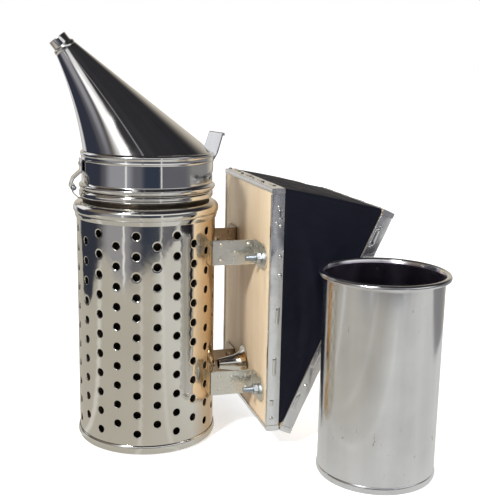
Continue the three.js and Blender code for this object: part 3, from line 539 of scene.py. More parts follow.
# Painted shade: the wall below the rim is near-black brown, for the deep shade behind the shield.
pot_painted_shade = tinted(spread(mottle(where, 45, 5.0), 0, 1, 0.4, 0.75), (0.035, 0.03, 0.026), (0.09, 0.07, 0.05))
wave = relief(mottle(where, 40, 1.5), 0.03)
painted(skin, tinted(unshaded, pot_painted_shade, (0.84, 0.82, 0.78)), spread(unshaded, 0.5, 0.08, 0, 1), wave)
print("pot clean above:", round(SHADE_PAINTED_BELOW, 1))

# %% [markdown]
# The boards are planed softwood. The grain runs up the board: long stretched noise gives the growth
# rings, and a finer one the pores, which are also cut a little way into the surface.

# %% Wood
def softwood(name, lean):
    """Planed softwood, with its grain along a board that leans by an angle."""
    finish, skin, where = new_finish(name, metal=0.0)
    turned = {"Vector": where, "Rotation": (0, -lean, 0)}
    where = add(where.id_data, "ShaderNodeMapping", turned).outputs[0]
    rings = mottle(where, 1.0, 4.0, (150, 46, 5), 0.9)
    pores = mottle(where, 1.0, 3.0, (1400, 900, 30))
    base = tinted(spread(rings, 0, 1, 0.35, 0.68), (0.66, 0.54, 0.37), (0.55, 0.42, 0.265))
    base = tinted(spread(mottle(where, 9.0, 2.0), 0, 0.45), base, (0.62, 0.49, 0.35))
    base = tinted(spread(pores, 0, 0.5, 0.58, 0.75), base, (0.40, 0.28, 0.16))
    painted(skin, base, spread(rings, 0.5, 0.66), relief(rings, 0.06, relief(pores, 0.05)))
    return finish


pale_wood = softwood("pale_wood", 0.0)
leaning_wood = softwood("leaning_wood", OPEN)
print("wood nodes:", len(leaning_wood.node_tree.nodes))

# %% [markdown]
# The cover is leatherette: a blue-black coated cloth with a fine pebbled grain, and slow creases
# where it has been folded and opened many times. The valve's flap is brown leather.

# %% Leatherette and leather
def hide(name, base_colour, high_colour, gloss, pebble, pebble_scale, sheen, shine):
    """A pebbled skin. The pebble is a depth in mm."""
    finish, skin, where = new_finish(name, metal=0.0)
    skin.inputs["Sheen Weight"].default_value = sheen
    skin.inputs["Specular IOR Level"].default_value = shine
    skin.inputs["Sheen Roughness"].default_value = 0.4
    cells = add(where.id_data, "ShaderNodeTexVoronoi", {"Vector": where, "Scale": pebble_scale}, feature="F1")
    grain = relief(Number(cells.outputs["Distance"]), pebble)
    base = tinted(spread(mottle(where, 30, 4.0), 0, 1), base_colour, high_colour)
    creased = relief(mottle(where, 34, 3.0, (1, 1, 1), 1.2), 0.15, grain)
    painted(skin, base, spread(mottle(where, 90, 4.0), *gloss), creased)
    return finish


BLUE_BLACK, BLUE_BLACK_WORN = (0.0025, 0.003, 0.0075), (0.0045, 0.0055, 0.012)
BROWN, BROWN_WORN = (0.13, 0.07, 0.035), (0.19, 0.11, 0.06)
leatherette = hide("leatherette", BLUE_BLACK, BLUE_BLACK_WORN, (0.52, 0.68), 0.1, 700, 0.01, 0.16)
flap_leather = hide("flap_leather", BROWN, BROWN_WORN, (0.6, 0.8), 0.1, 500, 0.1, 0.4)
print("hides:", leatherette.name, flap_leather.name)

# %% [markdown]
# ## Tools for making meshes
# Most of the smoker is spun, so most pieces are a profile turned about an axis. A profile is a list
# of (radius, height) pairs. Its corners are eased into small arcs first, because real sheet never
# folds to a knife edge and it is those small arcs that catch the light.

# %% Mesh helpers
def eased(outline, radius, steps=3, closed=True):
    """An outline with each corner replaced by a small curve. A third value sets its own radius."""
    made = []
    for i, corner in enumerate(outline):
        here = Vector(corner[:2])
        if not closed and i in (0, len(outline) - 1):
            made.append(tuple(here))
            continue
        back = Vector(outline[i - 1][:2]) - here
        on = Vector(outline[(i + 1) % len(outline)][:2]) - here
        want = corner[2] if len(corner) > 2 else radius
        reach = min(want, 0.45 * back.length, 0.45 * on.length)
        start, end = here + reach * back.normalized(), here + reach * on.normalized()
        for s in range(steps + 1):
            t = s / steps
            made.append(tuple((1 - t) ** 2 * start + 2 * t * (1 - t) * here + t * t * end))
    return made


def between_rows(rows, closed):
    """Faces between rows of equal length, each row a closed ring."""
    faces = []
    for i in range(len(rows) - (0 if closed else 1)):
        one, other = rows[i], rows[(i + 1) % len(rows)]
        for k in range(len(one)):
            face = [one[k], one[(k + 1) % len(one)], other[(k + 1) % len(one)], other[k]]
            face = [corner for j, corner in enumerate(face) if corner != face[j - 1]]
            if len(face) > 2:
                faces.append(face)
    return faces
def through_rings(rings, capped=True):
    """Points and faces of a skin through rings of equally many points, with its ends closed or open."""
    points = [point for ring in rings for point in ring]
    rows = [list(range(i * len(ring), (i + 1) * len(ring))) for i, ring in enumerate(rings)]
    faces = between_rows(rows, closed=False)
    return points, faces + ([rows[0][::-1], rows[-1]] if capped else [])


def side_of(line, i):
    """The direction to the left of a line at one of its points."""
    ahead_of = (line[min(i + 1, len(line) - 1)] - line[max(i - 1, 0)]).normalized()
    return Vector((-ahead_of.y, ahead_of.x))

def revolved(profile, segments=128, closed=True, rule=None):
    """Points and faces of a profile turned about +Z. A rule may change a radius by its angle."""
    points, rows = [], []
    for radius, height in profile:
        if radius < 1e-6:
            rows.append([len(points)] * segments)
            points.append((0.0, 0.0, height))
            continue
        row = []
        for k in range(segments):
            angle = 2 * math.pi * k / segments
            reach = rule(radius, height, angle) if rule else radius
            row.append(len(points))
            points.append((reach * math.cos(angle), reach * math.sin(angle), height))
        rows.append(row)
    return points, between_rows(rows, closed)


def laid_along_x(points, across, height):
    """Points made about +Z, laid over to stand about +X at a place."""
    return [(z, y + across, height - x) for x, y, z in points]


def mesh_piece(name, points, faces, finish, sharp=35):
    """A piece from points in millimetres, facing out, smooth apart from its sharp edges."""
    mesh = bpy.data.meshes.new(name)
    mesh.from_pydata([tuple(MM * c for c in p) for p in points], [], faces)
    shell = bmesh.new()
    shell.from_mesh(mesh)
    bmesh.ops.remove_doubles(shell, verts=shell.verts, dist=1e-7)
    bmesh.ops.recalc_face_normals(shell, faces=shell.faces)
    shell.to_mesh(mesh)
    shell.free()
    mesh.materials.append(finish)
    mesh.shade_smooth()
    mesh.set_sharp_from_angle(angle=math.radians(sharp))
    return linked(name, mesh)


# %% [markdown]
# Modifiers such as Bevel, Solidify and Boolean do the cutting and the rounding. Their result is then
# made the piece's own mesh, so that nothing has to be evaluated again when the piece moves.

# %% Finishing helpers
def settle(piece, sharp=35):
    """Makes the piece's modifiers part of its mesh."""
    graph = bpy.context.evaluated_depsgraph_get()
    made = bpy.data.meshes.new_from_object(
        piece.evaluated_get(graph), preserve_all_data_layers=True, depsgraph=graph
    )
    old = piece.data
    piece.modifiers.clear()
    piece.data = made
    bpy.data.meshes.remove(old)
    made.name = piece.name
    made.shade_smooth()
    made.set_sharp_from_angle(angle=math.radians(sharp))
    return piece


def bevelled(piece, width, segments=2, angle=38):
    """Rounds the piece's sharp edges by a width in millimetres."""
    bevel = piece.modifiers.new("bevel", "BEVEL")
    bevel.width, bevel.segments = width * MM, segments
    bevel.limit_method, bevel.angle_limit = "ANGLE", math.radians(angle)
    bevel.harden_normals = False
    return settle(piece)


def cut_by(piece, cutter, sharp=35):
    """Takes a cutter out of a piece, and removes the cutter."""
    boolean = piece.modifiers.new("cut", "BOOLEAN")
    boolean.operation, boolean.solver, boolean.object = "DIFFERENCE", "EXACT", cutter
    settle(piece, sharp)
    old = cutter.data
    bpy.data.objects.remove(cutter)
    bpy.data.meshes.remove(old)
    return piece


def cut_along_x(piece, radius, x0, x1, across, height):
    """Cuts a round hole along X through the piece."""
    points, faces = revolved([(0, x0), (radius, x0), (radius, x1), (0, x1)], 32, closed=False)
    finish = piece.data.materials[0]
    return cut_by(piece, mesh_piece("cutter", laid_along_x(points, across, height), faces, finish))


BOX_FACES = [(0, 1, 3, 2), (4, 6, 7, 5), (0, 4, 5, 1), (2, 3, 7, 6), (0, 2, 6, 4), (1, 5, 7, 3)]


def cut_box(piece, xs, ys, zs, sharp=35):
    """Cuts a box out of the piece, from its two values on each axis."""
    points = [(x, y, z) for x in xs for y in ys for z in zs]
    return cut_by(piece, mesh_piece("box", points, BOX_FACES, piece.data.materials[0]), sharp)


def walled(piece, thickness, sharp=50):
    """Gives a skin a wall of a thickness in millimetres, on its inner side."""
    wall = piece.modifiers.new("wall", "SOLIDIFY")
    wall.thickness, wall.offset = thickness * MM, -1.0
    return settle(piece, sharp)


dressed = {}


def fit(piece, body, slot, *nodes):
    """The piece moves with a body and stands for its CAD nodes. The slot is not used."""
    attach(piece, body)
    if nodes:
        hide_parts(*nodes)
    dressed[piece.name] = sum(len(p.vertices) - 2 for p in piece.data.polygons)
    print(f"{piece.name}: {dressed[piece.name]} triangles on {body}")
    return piece


# %% [markdown]
# ## The heat shield
# The shield is one sheet, punched flat and then rolled. Modelling it the same way is easiest: one
# punched cell is repeated over a flat sheet, in columns that step up by half a row every second time,
# and the sheet is rolled into a tube. A boolean cut per hole would leave ragged shading round all the
# holes, where this cell has clean rings. The cell's edge has six steps a side, so a cell that is half
# a row higher still meets its neighbour point for point.

# %% Sizes of the punching
COLUMNS, ROWS = 22, 11
FIRST_COLUMN = 6.45
LOWEST_HOLE = 17.8
HIGHEST_HOLE = SHIELD_TOP - 16.2
CELL_HEIGHT = (HIGHEST_HOLE - LOWEST_HOLE) / (ROWS - 1)
CELL_WIDTH = 2 * math.pi * SHIELD_RADIUS / COLUMNS
STEPS = 6
HOLE_RINGS = [(3.0, -0.55), (3.08, -0.22), (3.35, -0.05), (3.8, 0.0), (4.7, 0.0)]
print(f"cell {CELL_WIDTH:.2f} x {CELL_HEIGHT:.2f} mm, {COLUMNS} columns")


# %% [markdown]
# The cell is a square with a round hole: rings of points that start as a circle and end as the
# square's edge. The innermost rings turn down into the hole, as the punch leaves them.

# %% The punched cell and the plain one
def cell_edge():
    """The points round a cell's edge, six to a side, from its lower left corner."""
    half_w, half_h = CELL_WIDTH / 2, CELL_HEIGHT / 2
    ends = [(-half_w, -half_h), (half_w, -half_h), (half_w, half_h), (-half_w, half_h)]
    edge = []
    for side, start in enumerate(ends):
        end = ends[(side + 1) % 4]
        for s in range(STEPS):
            t = s / STEPS
            edge.append((start[0] + t * (end[0] - start[0]), start[1] + t * (end[1] - start[1]), 0.0))
    return edge


def source(name, points, faces):
    """A mesh that a node tree copies, which isn't a piece itself."""
    mesh = bpy.data.meshes.new(name)
    mesh.from_pydata([tuple(MM * c for c in p) for p in points], [], faces)
    return linked(name, mesh)


edge = cell_edge()
turns = [math.radians(-135 + 360 * k / len(edge)) for k in range(len(edge))]
rings = [[(radius * math.cos(a), radius * math.sin(a), depth) for a in turns] for radius, depth in HOLE_RINGS]
punched_cell = source("punched_cell", *through_rings([*rings, edge], capped=False))


def plain_sheet(name, width, height, across, up):
    """A flat sheet of quads with its lower left corner at the origin."""
    points = [(width * i / across, height * j / up, 0.0) for j in range(up + 1) for i in range(across + 1)]
    faces = []
    for j in range(up):
        for i in range(across):
            a = j * (across + 1) + i
            faces.append((a, a + 1, a + across + 2, a + across + 1))
    return source(name, points, faces)


plain_cell = plain_sheet("plain_cell", CELL_WIDTH, CELL_HEIGHT, STEPS, STEPS)
half_cell = plain_sheet("half_cell", CELL_WIDTH, CELL_HEIGHT / 2, STEPS, STEPS // 2)
band_cell = plain_sheet("band_cell", CELL_WIDTH, 1.0, STEPS, 3)
print("cell points:", len(punched_cell.data.vertices))


# %% [markdown]
# The tree lays the cells out and rolls the sheet. It has named inputs for the sizes, so a shield with
# other columns or another radius needs no new code. Cells too near the air inlet are plain.

# %% Tree helpers
def new_tree(name, inputs):
    """A Geometry Nodes tree with named inputs, and those inputs by name."""
    tree = bpy.data.node_groups.new(name, "GeometryNodeTree")
    inputs = {"Geometry": "Geometry", **inputs}
    for label, kind in inputs.items():
        tree.interface.new_socket(label, in_out="INPUT", socket_type=f"NodeSocket{kind}")
    tree.interface.new_socket("Geometry", in_out="OUTPUT", socket_type="NodeSocketGeometry")
    given = {socket.name: socket for socket in tree.nodes.new("NodeGroupInput").outputs if socket.name}
    return tree, {k: Number(given[k]) if inputs[k] in ("Int", "Float") else given[k] for k in inputs}


def end_tree(tree, geometry, finish):
    """Ends a tree with real geometry that has a finish."""
    real = add(tree, "GeometryNodeRealizeInstances", {"Geometry": geometry})
    out = add(tree, "GeometryNodeSetMaterial", {"Geometry": real, "Material": finish})
    feed(tree.nodes.new("NodeGroupOutput").inputs[0], out)
    print(f"{tree.name}: {len(tree.nodes)} nodes")


def run_tree(piece, tree, values):
    """Runs a tree on a piece with its inputs set, and keeps the result as a plain mesh."""
    modifier = piece.modifiers.new(tree.name, "NODES")
    modifier.node_group = tree
    for item in tree.interface.items_tree:
        if item.in_out == "INPUT" and item.name in values:
            modifier[item.identifier] = values[item.name]
    return settle(piece)


def grown(name, tree, values):
    """A piece that is wholly a tree's result."""
    return run_tree(source(name, [(0, 0, 0)], []), tree, values)


def placed(tree, x, y, z):
    """A vector from three values."""
    return add(tree, "ShaderNodeCombineXYZ", {0: x, 1: y, 2: z}).outputs[0]


def places_in(tree):
    """The three values of each point's place."""
    return parts_of(add(tree, "GeometryNodeInputPosition").outputs[0])


def moved_to(tree, geometry, place):
    """A geometry with its points moved to a place."""
    return add(tree, "GeometryNodeSetPosition", {"Geometry": geometry, "Position": place})


def copies(tree, points, shape, **values):
    """A shape set on points."""
    return add(tree, "GeometryNodeInstanceOnPoints", {"Points": points, "Instance": shape, **values})


def together(tree, parts):
    """Several geometries joined, in their order."""
    joined = add(tree, "GeometryNodeJoinGeometry")
    for part in reversed(parts):
        tree.links.new(part.outputs[0], joined.inputs[0])
    return joined


# %% The shield's tree
CELLS = ("Punched Cell", "Plain Cell", "Half Cell", "Band Cell")
t, given = new_tree("roll_punched_sheet", {
    **{label: "Object" for label in CELLS}, "Columns": "Int", "Rows": "Int", "Cell Width": "Float",
    "Cell Height": "Float", "Lowest Hole": "Float", "Foot": "Float", "Top": "Float", "Radius": "Float",
    "First Column": "Float", "Inlet Height": "Float", "Plain Radius": "Float", "Finish": "Material",
})
shield_tree = t
w, h, lowest = given["Cell Width"], given["Cell Height"], given["Lowest Hole"]
grid_w, grid_h = (given["Columns"] - 1.0) * w, (given["Rows"] - 1.0) * h
cells = {
    label: add(t, "GeometryNodeObjectInfo", {"Object": given[label]}).outputs["Geometry"] for label in CELLS
}
grid = add(t, "GeometryNodeMeshGrid", {
    "Size X": grid_w, "Size Y": grid_h, "Vertices X": given["Columns"], "Vertices Y": given["Rows"],
})
x, y, _ = places_in(t)
column = ((x + grid_w * 0.5) / w).do("ROUND")
short = column.do("MODULO", 2.0) * -1.0 + 1.0
height = y + grid_h * 0.5 + lowest + short * 0.5 * h
laid = moved_to(t, grid, placed(t, column * w, height, 0.0))
along, up, _ = places_in(t)
above = add(t, "FunctionNodeCompare", {0: up, 1: lowest + grid_h + h * 0.25}, operation="GREATER_THAN")
holes = add(t, "GeometryNodeDeleteGeometry", {"Geometry": laid, "Selection": above}, domain="POINT")
print("shield tree nodes so far:", len(t.nodes))

# %% [markdown]
# A cell is near the inlet when its middle, seen from the bellows' side, is closer to the inlet's axis
# than the flange and a hole's radius together.

# %% Choose plain cells and roll the sheet
def angle_of(x):
    """The azimuth of a place along the flat sheet, in radians."""
    return given["First Column"] * (math.pi / 180) + x / given["Radius"]


azimuth = angle_of(along)
aside, apart = azimuth.do("SINE") * given["Radius"], up - given["Inlet Height"]
near = (aside * aside + apart * apart).do("SQRT").do("LESS_THAN", given["Plain Radius"])
near = near * azimuth.do("COSINE").do("GREATER_THAN", 0.0)
punched = copies(t, holes, cells["Punched Cell"], Selection=near * -1.0 + 1.0)
shift = placed(t, w * -0.5, h * -0.5, 0.0)
plain_at = add(t, "GeometryNodeSetPosition", {"Geometry": holes, "Offset": shift, "Selection": near})
unpunched = copies(t, plain_at, cells["Plain Cell"], Selection=near)


def line_of(cell, every, number, z, scale_z):
    """A line of plain cells at a height, with their heights scaled."""
    line = add(t, "GeometryNodeMeshLine", {
        "Count": number,
        "Start Location": placed(t, w * -0.5, z, 0.0),
        "Offset": placed(t, w * every, 0.0, 0.0),
    })
    return copies(t, line, cells[cell], Scale=placed(t, 1.0, scale_z, 1.0))


half = h * 0.5
low_edge, high_edge = lowest - half, lowest + grid_h + half
shorts = given["Columns"] * 0.5
joined = together(t, [
    punched,
    unpunched,
    line_of("Half Cell", 2.0, shorts, low_edge, 1.0),
    line_of("Half Cell", 2.0, shorts, high_edge - half, 1.0),
    line_of("Band Cell", 1.0, given["Columns"], given["Foot"], (low_edge - given["Foot"]) / MM),
    line_of("Band Cell", 1.0, given["Columns"], high_edge, (given["Top"] - high_edge) / MM),
])
MEET = 0.00004
real = add(t, "GeometryNodeRealizeInstances", {"Geometry": joined})
whole = add(t, "GeometryNodeMergeByDistance", {"Geometry": real, "Distance": MEET})
x, y, z = places_in(t)
rolled_to, reach = angle_of(x), given["Radius"] + z
tube = moved_to(t, whole, placed(t, reach * rolled_to.do("COSINE"), reach * rolled_to.do("SINE"), y))
tube = add(t, "GeometryNodeMergeByDistance", {"Geometry": tube, "Distance": MEET})
end_tree(t, tube, given["Finish"])

# %% Roll the shield
PLAIN_ROUND_INLET = 12.6
holders = (punched_cell, plain_cell, half_cell, band_cell)
shield = grown("shield_skin", shield_tree, {
    **dict(zip(CELLS, holders)),
    "Columns": COLUMNS, "Rows": ROWS, "Cell Width": CELL_WIDTH * MM, "Cell Height": CELL_HEIGHT * MM,
    "Lowest Hole": LOWEST_HOLE * MM, "Foot": SHIELD_FOOT * MM, "Top": SHIELD_TOP * MM,
    "Radius": SHIELD_RADIUS * MM, "First Column": FIRST_COLUMN, "Inlet Height": AIR_HEIGHT * MM,
    "Plain Radius": PLAIN_ROUND_INLET * MM, "Finish": shield_steel,
})
for holder in holders:
    bpy.data.objects.remove(holder)
skin_mesh = bmesh.new()
skin_mesh.from_mesh(shield.data)
bmesh.ops.recalc_face_normals(skin_mesh, faces=skin_mesh.faces)
if sum(f.normal.xy.dot(f.calc_center_median().xy) for f in skin_mesh.faces) < 0:
    bmesh.ops.reverse_faces(skin_mesh, faces=skin_mesh.faces)
skin_mesh.to_mesh(shield.data)
print("open edges round the holes and rims:", sum(1 for e in skin_mesh.edges if e.is_boundary))
skin_mesh.free()
walled(shield, THIN)
cut_along_x(shield, 7.9, 45, 65, 0, AIR_HEIGHT)
fit(shield, "smoker_body", "polished_steel", "heat_shield")

# %% [markdown]
# ## Spun pieces of the smoker
# The base, the shoulder, the pot and the lid are spun or rolled. Each has its profile, eased at the
# corners and turned in 128 steps, which is smooth even where a bead reflects a straight line.

# %% Base, shoulder and pot
def spun(name, profile, finish, ease=0.6, closed=True, segments=128, x=0.0, y=0.0, rule=None):
    """A turned piece that stands at a place."""
    points, faces = revolved(eased(profile, ease, closed=closed), segments, closed, rule)
    return mesh_piece(name, [(px + x, py + y, pz) for px, py, pz in points], faces, finish)


groove = SHIELD_RADIUS + GAP
base = spun("base_dish", [
    (0, 0), (52.6, 0, 2), (55.4, 1.3, 2), (56.3, 3.4, 1.6), (56.35, 5.0, 1.4),
    (56.0, 7.0, 1.4), (55.4, 8, 0.3), (groove, 8, 0.1), (groove, 1.2), (0, 1.2),
], bead_steel, closed=False)
fit(base, "smoker_body", "polished_steel", "base_pan")

shoulder = spun("rolled_shoulder", [
    (groove, SHIELD_TOP - 8.6, 0.1), (groove + 0.5, SHIELD_TOP - 8.5, 0.2), (56.5, SHIELD_TOP - 5.0, 0.4),
    (56.3, SHIELD_TOP - 4.4, 0.2), (57.3, SHIELD_TOP - 3.4, 1.0), (57.6, SHIELD_TOP - 1.2, 1.6),
    (57.2, SHIELD_TOP + 1.2, 1.6), (55.6, SHIELD_TOP + 3.1, 1.8), (53.0, SHIELD_TOP + 4.2, 1.4),
    (51.2, SHIELD_TOP + 4.4, 0.8), (50.1, SHIELD_TOP + 4.0, 0.2), (50.1, SHIELD_TOP + 3.2, 0.2),
    (53.9, SHIELD_TOP + 2.0, 1), (groove, SHIELD_TOP + GAP, 0.2),
], bead_steel, ease=0.8)
fit(shoulder, "smoker_body", "polished_steel", "shoulder_ring")

COLLAR = SHIELD_TOP + 7
pot = spun("fire_pot_wall", [
    (0, POT_FOOT), (POT_RADIUS, POT_FOOT, 1.5), (POT_RADIUS, COLLAR, 0.3), (51.8, COLLAR + 0.2, 0.8),
    (53, COLLAR + 1.6, 1.0), (52.7, COLLAR + 2.9, 0.4), (53, COLLAR + 4.3, 0.8), (51.8, COLLAR + 6, 0.8),
    (POT_RADIUS, COLLAR + 6, 0.2), (POT_RADIUS, POT_TOP, 0.35), (POT_RADIUS - SHEET, POT_TOP, 0.35),
    (POT_RADIUS - SHEET, POT_FOOT + SHEET, 1.0), (0, POT_FOOT + SHEET),
], pot_steel, closed=False)
cut_along_x(pot, 7.0, 40, 60, 0, AIR_HEIGHT)
fit(pot, "smoker_body", "polished_steel", "fire_pot")

# %% [markdown]
# The lid's skirt has a rolled crown at its top, with a second fine ridge under it, and an out-turned
# bead at its foot. The cone stands on the crown's ledge.

# %% Lid
top = LID_CROWN
lid = spun("lid_skirt", [
    (50.9, LID_FOOT, 0.2), (52.4, LID_FOOT + 0.2, 0.4), (53.1, LID_FOOT + 1.2, 0.5),
    (53.85, LID_FOOT + 2.7, 0.7), (53.6, LID_FOOT + 3.9, 0.5), (52.2, LID_FOOT + 4.5, 0.5),
    (51.5, LID_FOOT + 5.6, 0.8), (51.5, top - 7.2, 0.4), (51.95, top - 6.4, 0.4), (51.6, top - 5.2, 0.5),
    (51.6, top - 3.6, 0.4), (52.2, top - 2.9, 0.4), (52.4, top - 1.7, 0.8), (51.9, top - 0.4, 0.6),
    (50.6, top, 0.4), (47.5, top, 0.3), (47.5, top - SHEET, 0.3), (50.9, top - 1.6, 0.5),
], lid_steel, x=LID_X)
fit(lid, "lid", "polished_steel", "lid_cap")

# %% [markdown]
# ## The cone
# The cone is a leaning one: a sheet rolled between the crown's circle and a small tilted circle at
# the spout. Its shape follows a rule. Each ring lies between a straight line up the front and a
# hollow curve up the back, so the piece is a loft of rings, and 48 of them keep the long reflections
# straight. Solidify gives it its wall.

# %% Cone
CONE_FOOT_Z = top + GAP
CONE_FOOT_RADIUS = 50.3
SPOUT_X, SPOUT_Z = -61.6, CONE_FOOT_Z + 76
SPOUT_TILT = math.radians(38)
SPOUT_COLLAR, SPOUT_HOLLOW = 8.8, 4.8


def cone_ring(t):
    """The middle, the radius and the direction across of the ring at a share of the way up."""
    reach = Vector((SPOUT_COLLAR * math.cos(SPOUT_TILT), SPOUT_COLLAR * math.sin(SPOUT_TILT)))
    spout = Vector((SPOUT_X, SPOUT_Z))
    front = Vector((CONE_FOOT_RADIUS, CONE_FOOT_Z)).lerp(spout + reach, t)
    foot, end = Vector((-CONE_FOOT_RADIUS, CONE_FOOT_Z)), spout - reach
    bend = foot.lerp(end, 0.5) + Vector((SPOUT_HOLLOW, 0))
    back = (1 - t) ** 2 * foot + 2 * t * (1 - t) * bend + t * t * end
    across = front - back
    return front.lerp(back, 0.5), across.length / 2, across.normalized()


LAP = math.radians(100)
CONE_RINGS, CONE_POINTS = 48, 160
rings = []
for i in range(CONE_RINGS + 1):
    middle, radius, across = cone_ring(i / CONE_RINGS)
    ring = []
    for k in range(CONE_POINTS):
        angle = 2 * math.pi * k / CONE_POINTS
        lapped = 0.35 if 0 <= (angle - LAP) < math.radians(7) else 0.0
        reach = radius - 0.05 + lapped * min(1, 6 * (1 - i / CONE_RINGS))
        out = reach * math.cos(angle)
        ring.append((LID_X + middle.x + out * across.x, reach * math.sin(angle), middle.y + out * across.y))
    rings.append(ring)
cone = walled(mesh_piece("leaning_cone", *through_rings(rings, capped=False), lid_steel, 60), SHEET - 0.1)
fit(cone, "lid", "polished_steel", "spout_cone")

# %% [markdown]
# The spout's tube is a short sleeve with a collar that laps over the cone's end. It is turned upright
# and then tilted, like the model's. A small rule lets its sheet overlap itself along a seam.

# %% Spout tube
SEAM = math.radians(205)


def lap_rule(radius, height, angle):
    """The sheet steps out a little where it overlaps itself."""
    return radius + (0.28 if 0 <= angle - SEAM < math.radians(14) and radius > 6.8 else 0.0)


points, faces = revolved(eased([
    (6.35, GAP), (SPOUT_COLLAR, GAP, 0.2), (SPOUT_COLLAR + 0.05, 1.6, 0.3), (SPOUT_COLLAR - 0.15, 3.0, 0.4),
    (7.5, 3.5, 0.4), (7.2, 4.2, 0.4), (7.15, 10.4, 0.3), (6.35, 10.4, 0.3),
], 0.3), 96, rule=lap_rule)
tilt = Matrix.Rotation(-SPOUT_TILT, 3, "Y")
points = [tilt @ Vector(p) + Vector((LID_X + SPOUT_X, 0, SPOUT_Z)) for p in points]
tube = mesh_piece("spout_sleeve", points, faces, lid_steel)
fit(tube, "lid", "polished_steel", "spout_tube")

# %% [markdown]
# ## Bent plates
# The hinge leaves and the thumb tab are plates bent along straight lines. Each is a path seen from
# the side, given a thickness and extruded sideways, and its cut edges are rounded with a bevel.

# %% Plates that are extruded along Y
def plate_outline(path, thickness, ease=1.0, steps=4):
    """A closed outline: a path with eased bends, and the same path moved to its left."""
    line = [Vector(p) for p in eased(path, ease, steps, closed=False)]
    moved = [corner + thickness * side_of(line, i) for i, corner in enumerate(line)]
    return [tuple(p) for p in line + moved[::-1]]


def turned_about_z(x, y, z, turn):
    """A point turned about the upright axis."""
    cosine, sine = math.cos(turn), math.sin(turn)
    return (x * cosine - y * sine, x * sine + y * cosine, z)


def extruded(name, outline, y0, y1, finish, turn=0.0):
    """An outline in X and Z, made solid from y0 to y1 and turned about the upright axis."""
    rings = [[turned_about_z(x, y, z, turn) for x, z in outline] for y in (y0, y1)]
    return mesh_piece(name, *through_rings(rings), finish)


def joined_pieces(name, pieces):
    """Several pieces made one."""
    for piece in bpy.data.objects:
        piece.select_set(piece in pieces)
    bpy.context.view_layer.objects.active = pieces[0]
    with bpy.context.temp_override(active_object=pieces[0], selected_editable_objects=pieces):
        bpy.ops.object.join()
    pieces[0].name = name
    pieces[0].data.name = name
    return pieces[0]


# %% [markdown]
# The lid turns on a pin behind the smoker, at the far side from the bellows. One leaf runs down the
# skirt, out over the bead and ends in two knuckles, and the pot's leaf holds the third between them.

# %% Lid hinge
PIN_X, PIN_Z = -57.8, LID_FOOT + 2
KNUCKLE, BORE = 2.3, 1.5
LEAF = 18.0


def knuckle_ring(name, y0, y1):
    """A knuckle about the pin."""
    profile = eased([(BORE, y0), (KNUCKLE, y0), (KNUCKLE, y1), (BORE, y1)], 0.25)
    points, faces = revolved(profile, 32)
    return mesh_piece(name, [(PIN_X + x, z, PIN_Z + y) for x, y, z in points], faces, lid_steel)


third = LEAF / 6
skirt_x = LID_X - 51.5 - GAP
leaf_path = [
    (PIN_X - KNUCKLE + SHEET, PIN_Z + 1), (PIN_X + 0.6, PIN_Z + 6.5), (skirt_x, top - 15.5),
    (skirt_x, top - 6),
]
outline = plate_outline(leaf_path, SHEET, 0.8)
leaf = extruded("lid_leaf", outline, -LEAF / 2, LEAF / 2, lid_steel)
cut_box(leaf, (PIN_X - 5, PIN_X + 4.6), (-third - GAP, third + GAP), (PIN_Z - 5, PIN_Z + KNUCKLE + GAP))
bevelled(leaf, 0.15)
near_ring = knuckle_ring("knuckle_near", -LEAF / 2, -third - GAP)
far_ring = knuckle_ring("knuckle_far", third + GAP, LEAF / 2)
leaf = joined_pieces("lid_leaf", [leaf, near_ring, far_ring])
fit(leaf, "lid", "polished_steel", "lid_hinge_lid_leaf")

under = COLLAR - GAP - SHEET
pot_path = [
    (-POT_RADIUS - GAP, under), (PIN_X + 4.4, under), (PIN_X + 0.2, PIN_Z - 5.5),
    (PIN_X - KNUCKLE + SHEET, PIN_Z - 0.5),
]
leaf = extruded("pot_leaf", plate_outline(pot_path, -SHEET, 0.8), -third, third, bead_steel)
bevelled(leaf, 0.15)
leaf = joined_pieces("pot_leaf", [leaf, knuckle_ring("knuckle_middle", -third, third)])
fit(leaf, "smoker_body", "polished_steel", "lid_hinge_pot_leaf")

half = LEAF / 2 + 0.8
points, faces = revolved(eased([
    (0, -half), (0.9, -half), (1.2, -half + 0.4), (1.2, half - 0.4), (0.9, half), (0, half),
], 0.15, closed=False), 32, closed=False)
pin = mesh_piece("hinge_pin", [(PIN_X + x, z, PIN_Z + y) for x, y, z in points], faces, bright_zinc)
fit(pin, "smoker_body", "polished_steel", "lid_hinge_pin")

# %% [markdown]
# The thumb tab lifts the lid. It is bent away from the skirt and its top edge is rolled outwards.
# Its corners are cut round, so it is built from a grid over the bent path instead of an extrusion:
# each row's half width shrinks near the top.

# %% Thumb tab
TAB_TURN = math.radians(14.4)
TAB_THICK, TAB_ACROSS = 1.0, 16
foot_x = 51.5 + GAP
bend_x, bend_z = foot_x + 4.2, top - 3.2
tip_x, tip_z = bend_x + 5.4, bend_z + 16
tab_path = eased([
    (foot_x, top - 18), (foot_x, top - 9), (bend_x, bend_z), (tip_x, tip_z), (tip_x + 1.3, tip_z + 0.7),
    (tip_x + 2.5, tip_z - 0.5), (tip_x + 2.1, tip_z - 2.2),
], 1.6, 5, closed=False)


def fine_line(path, step, whole=round):
    """A path with its long stretches cut into steps, as many as the whole number of them allows."""
    made = []
    for one, other in zip(path, path[1:]):
        steps = max(1, whole((Vector(other) - Vector(one)).length / step))
        made += [tuple(Vector(one).lerp(Vector(other), s / steps)) for s in range(steps)]
    return made + [path[-1]]


def tab_half(share):
    """Half the tab's width: full at its foot, a little narrower towards its rolled top."""
    return 12.0 - 0.9 * share ** 2


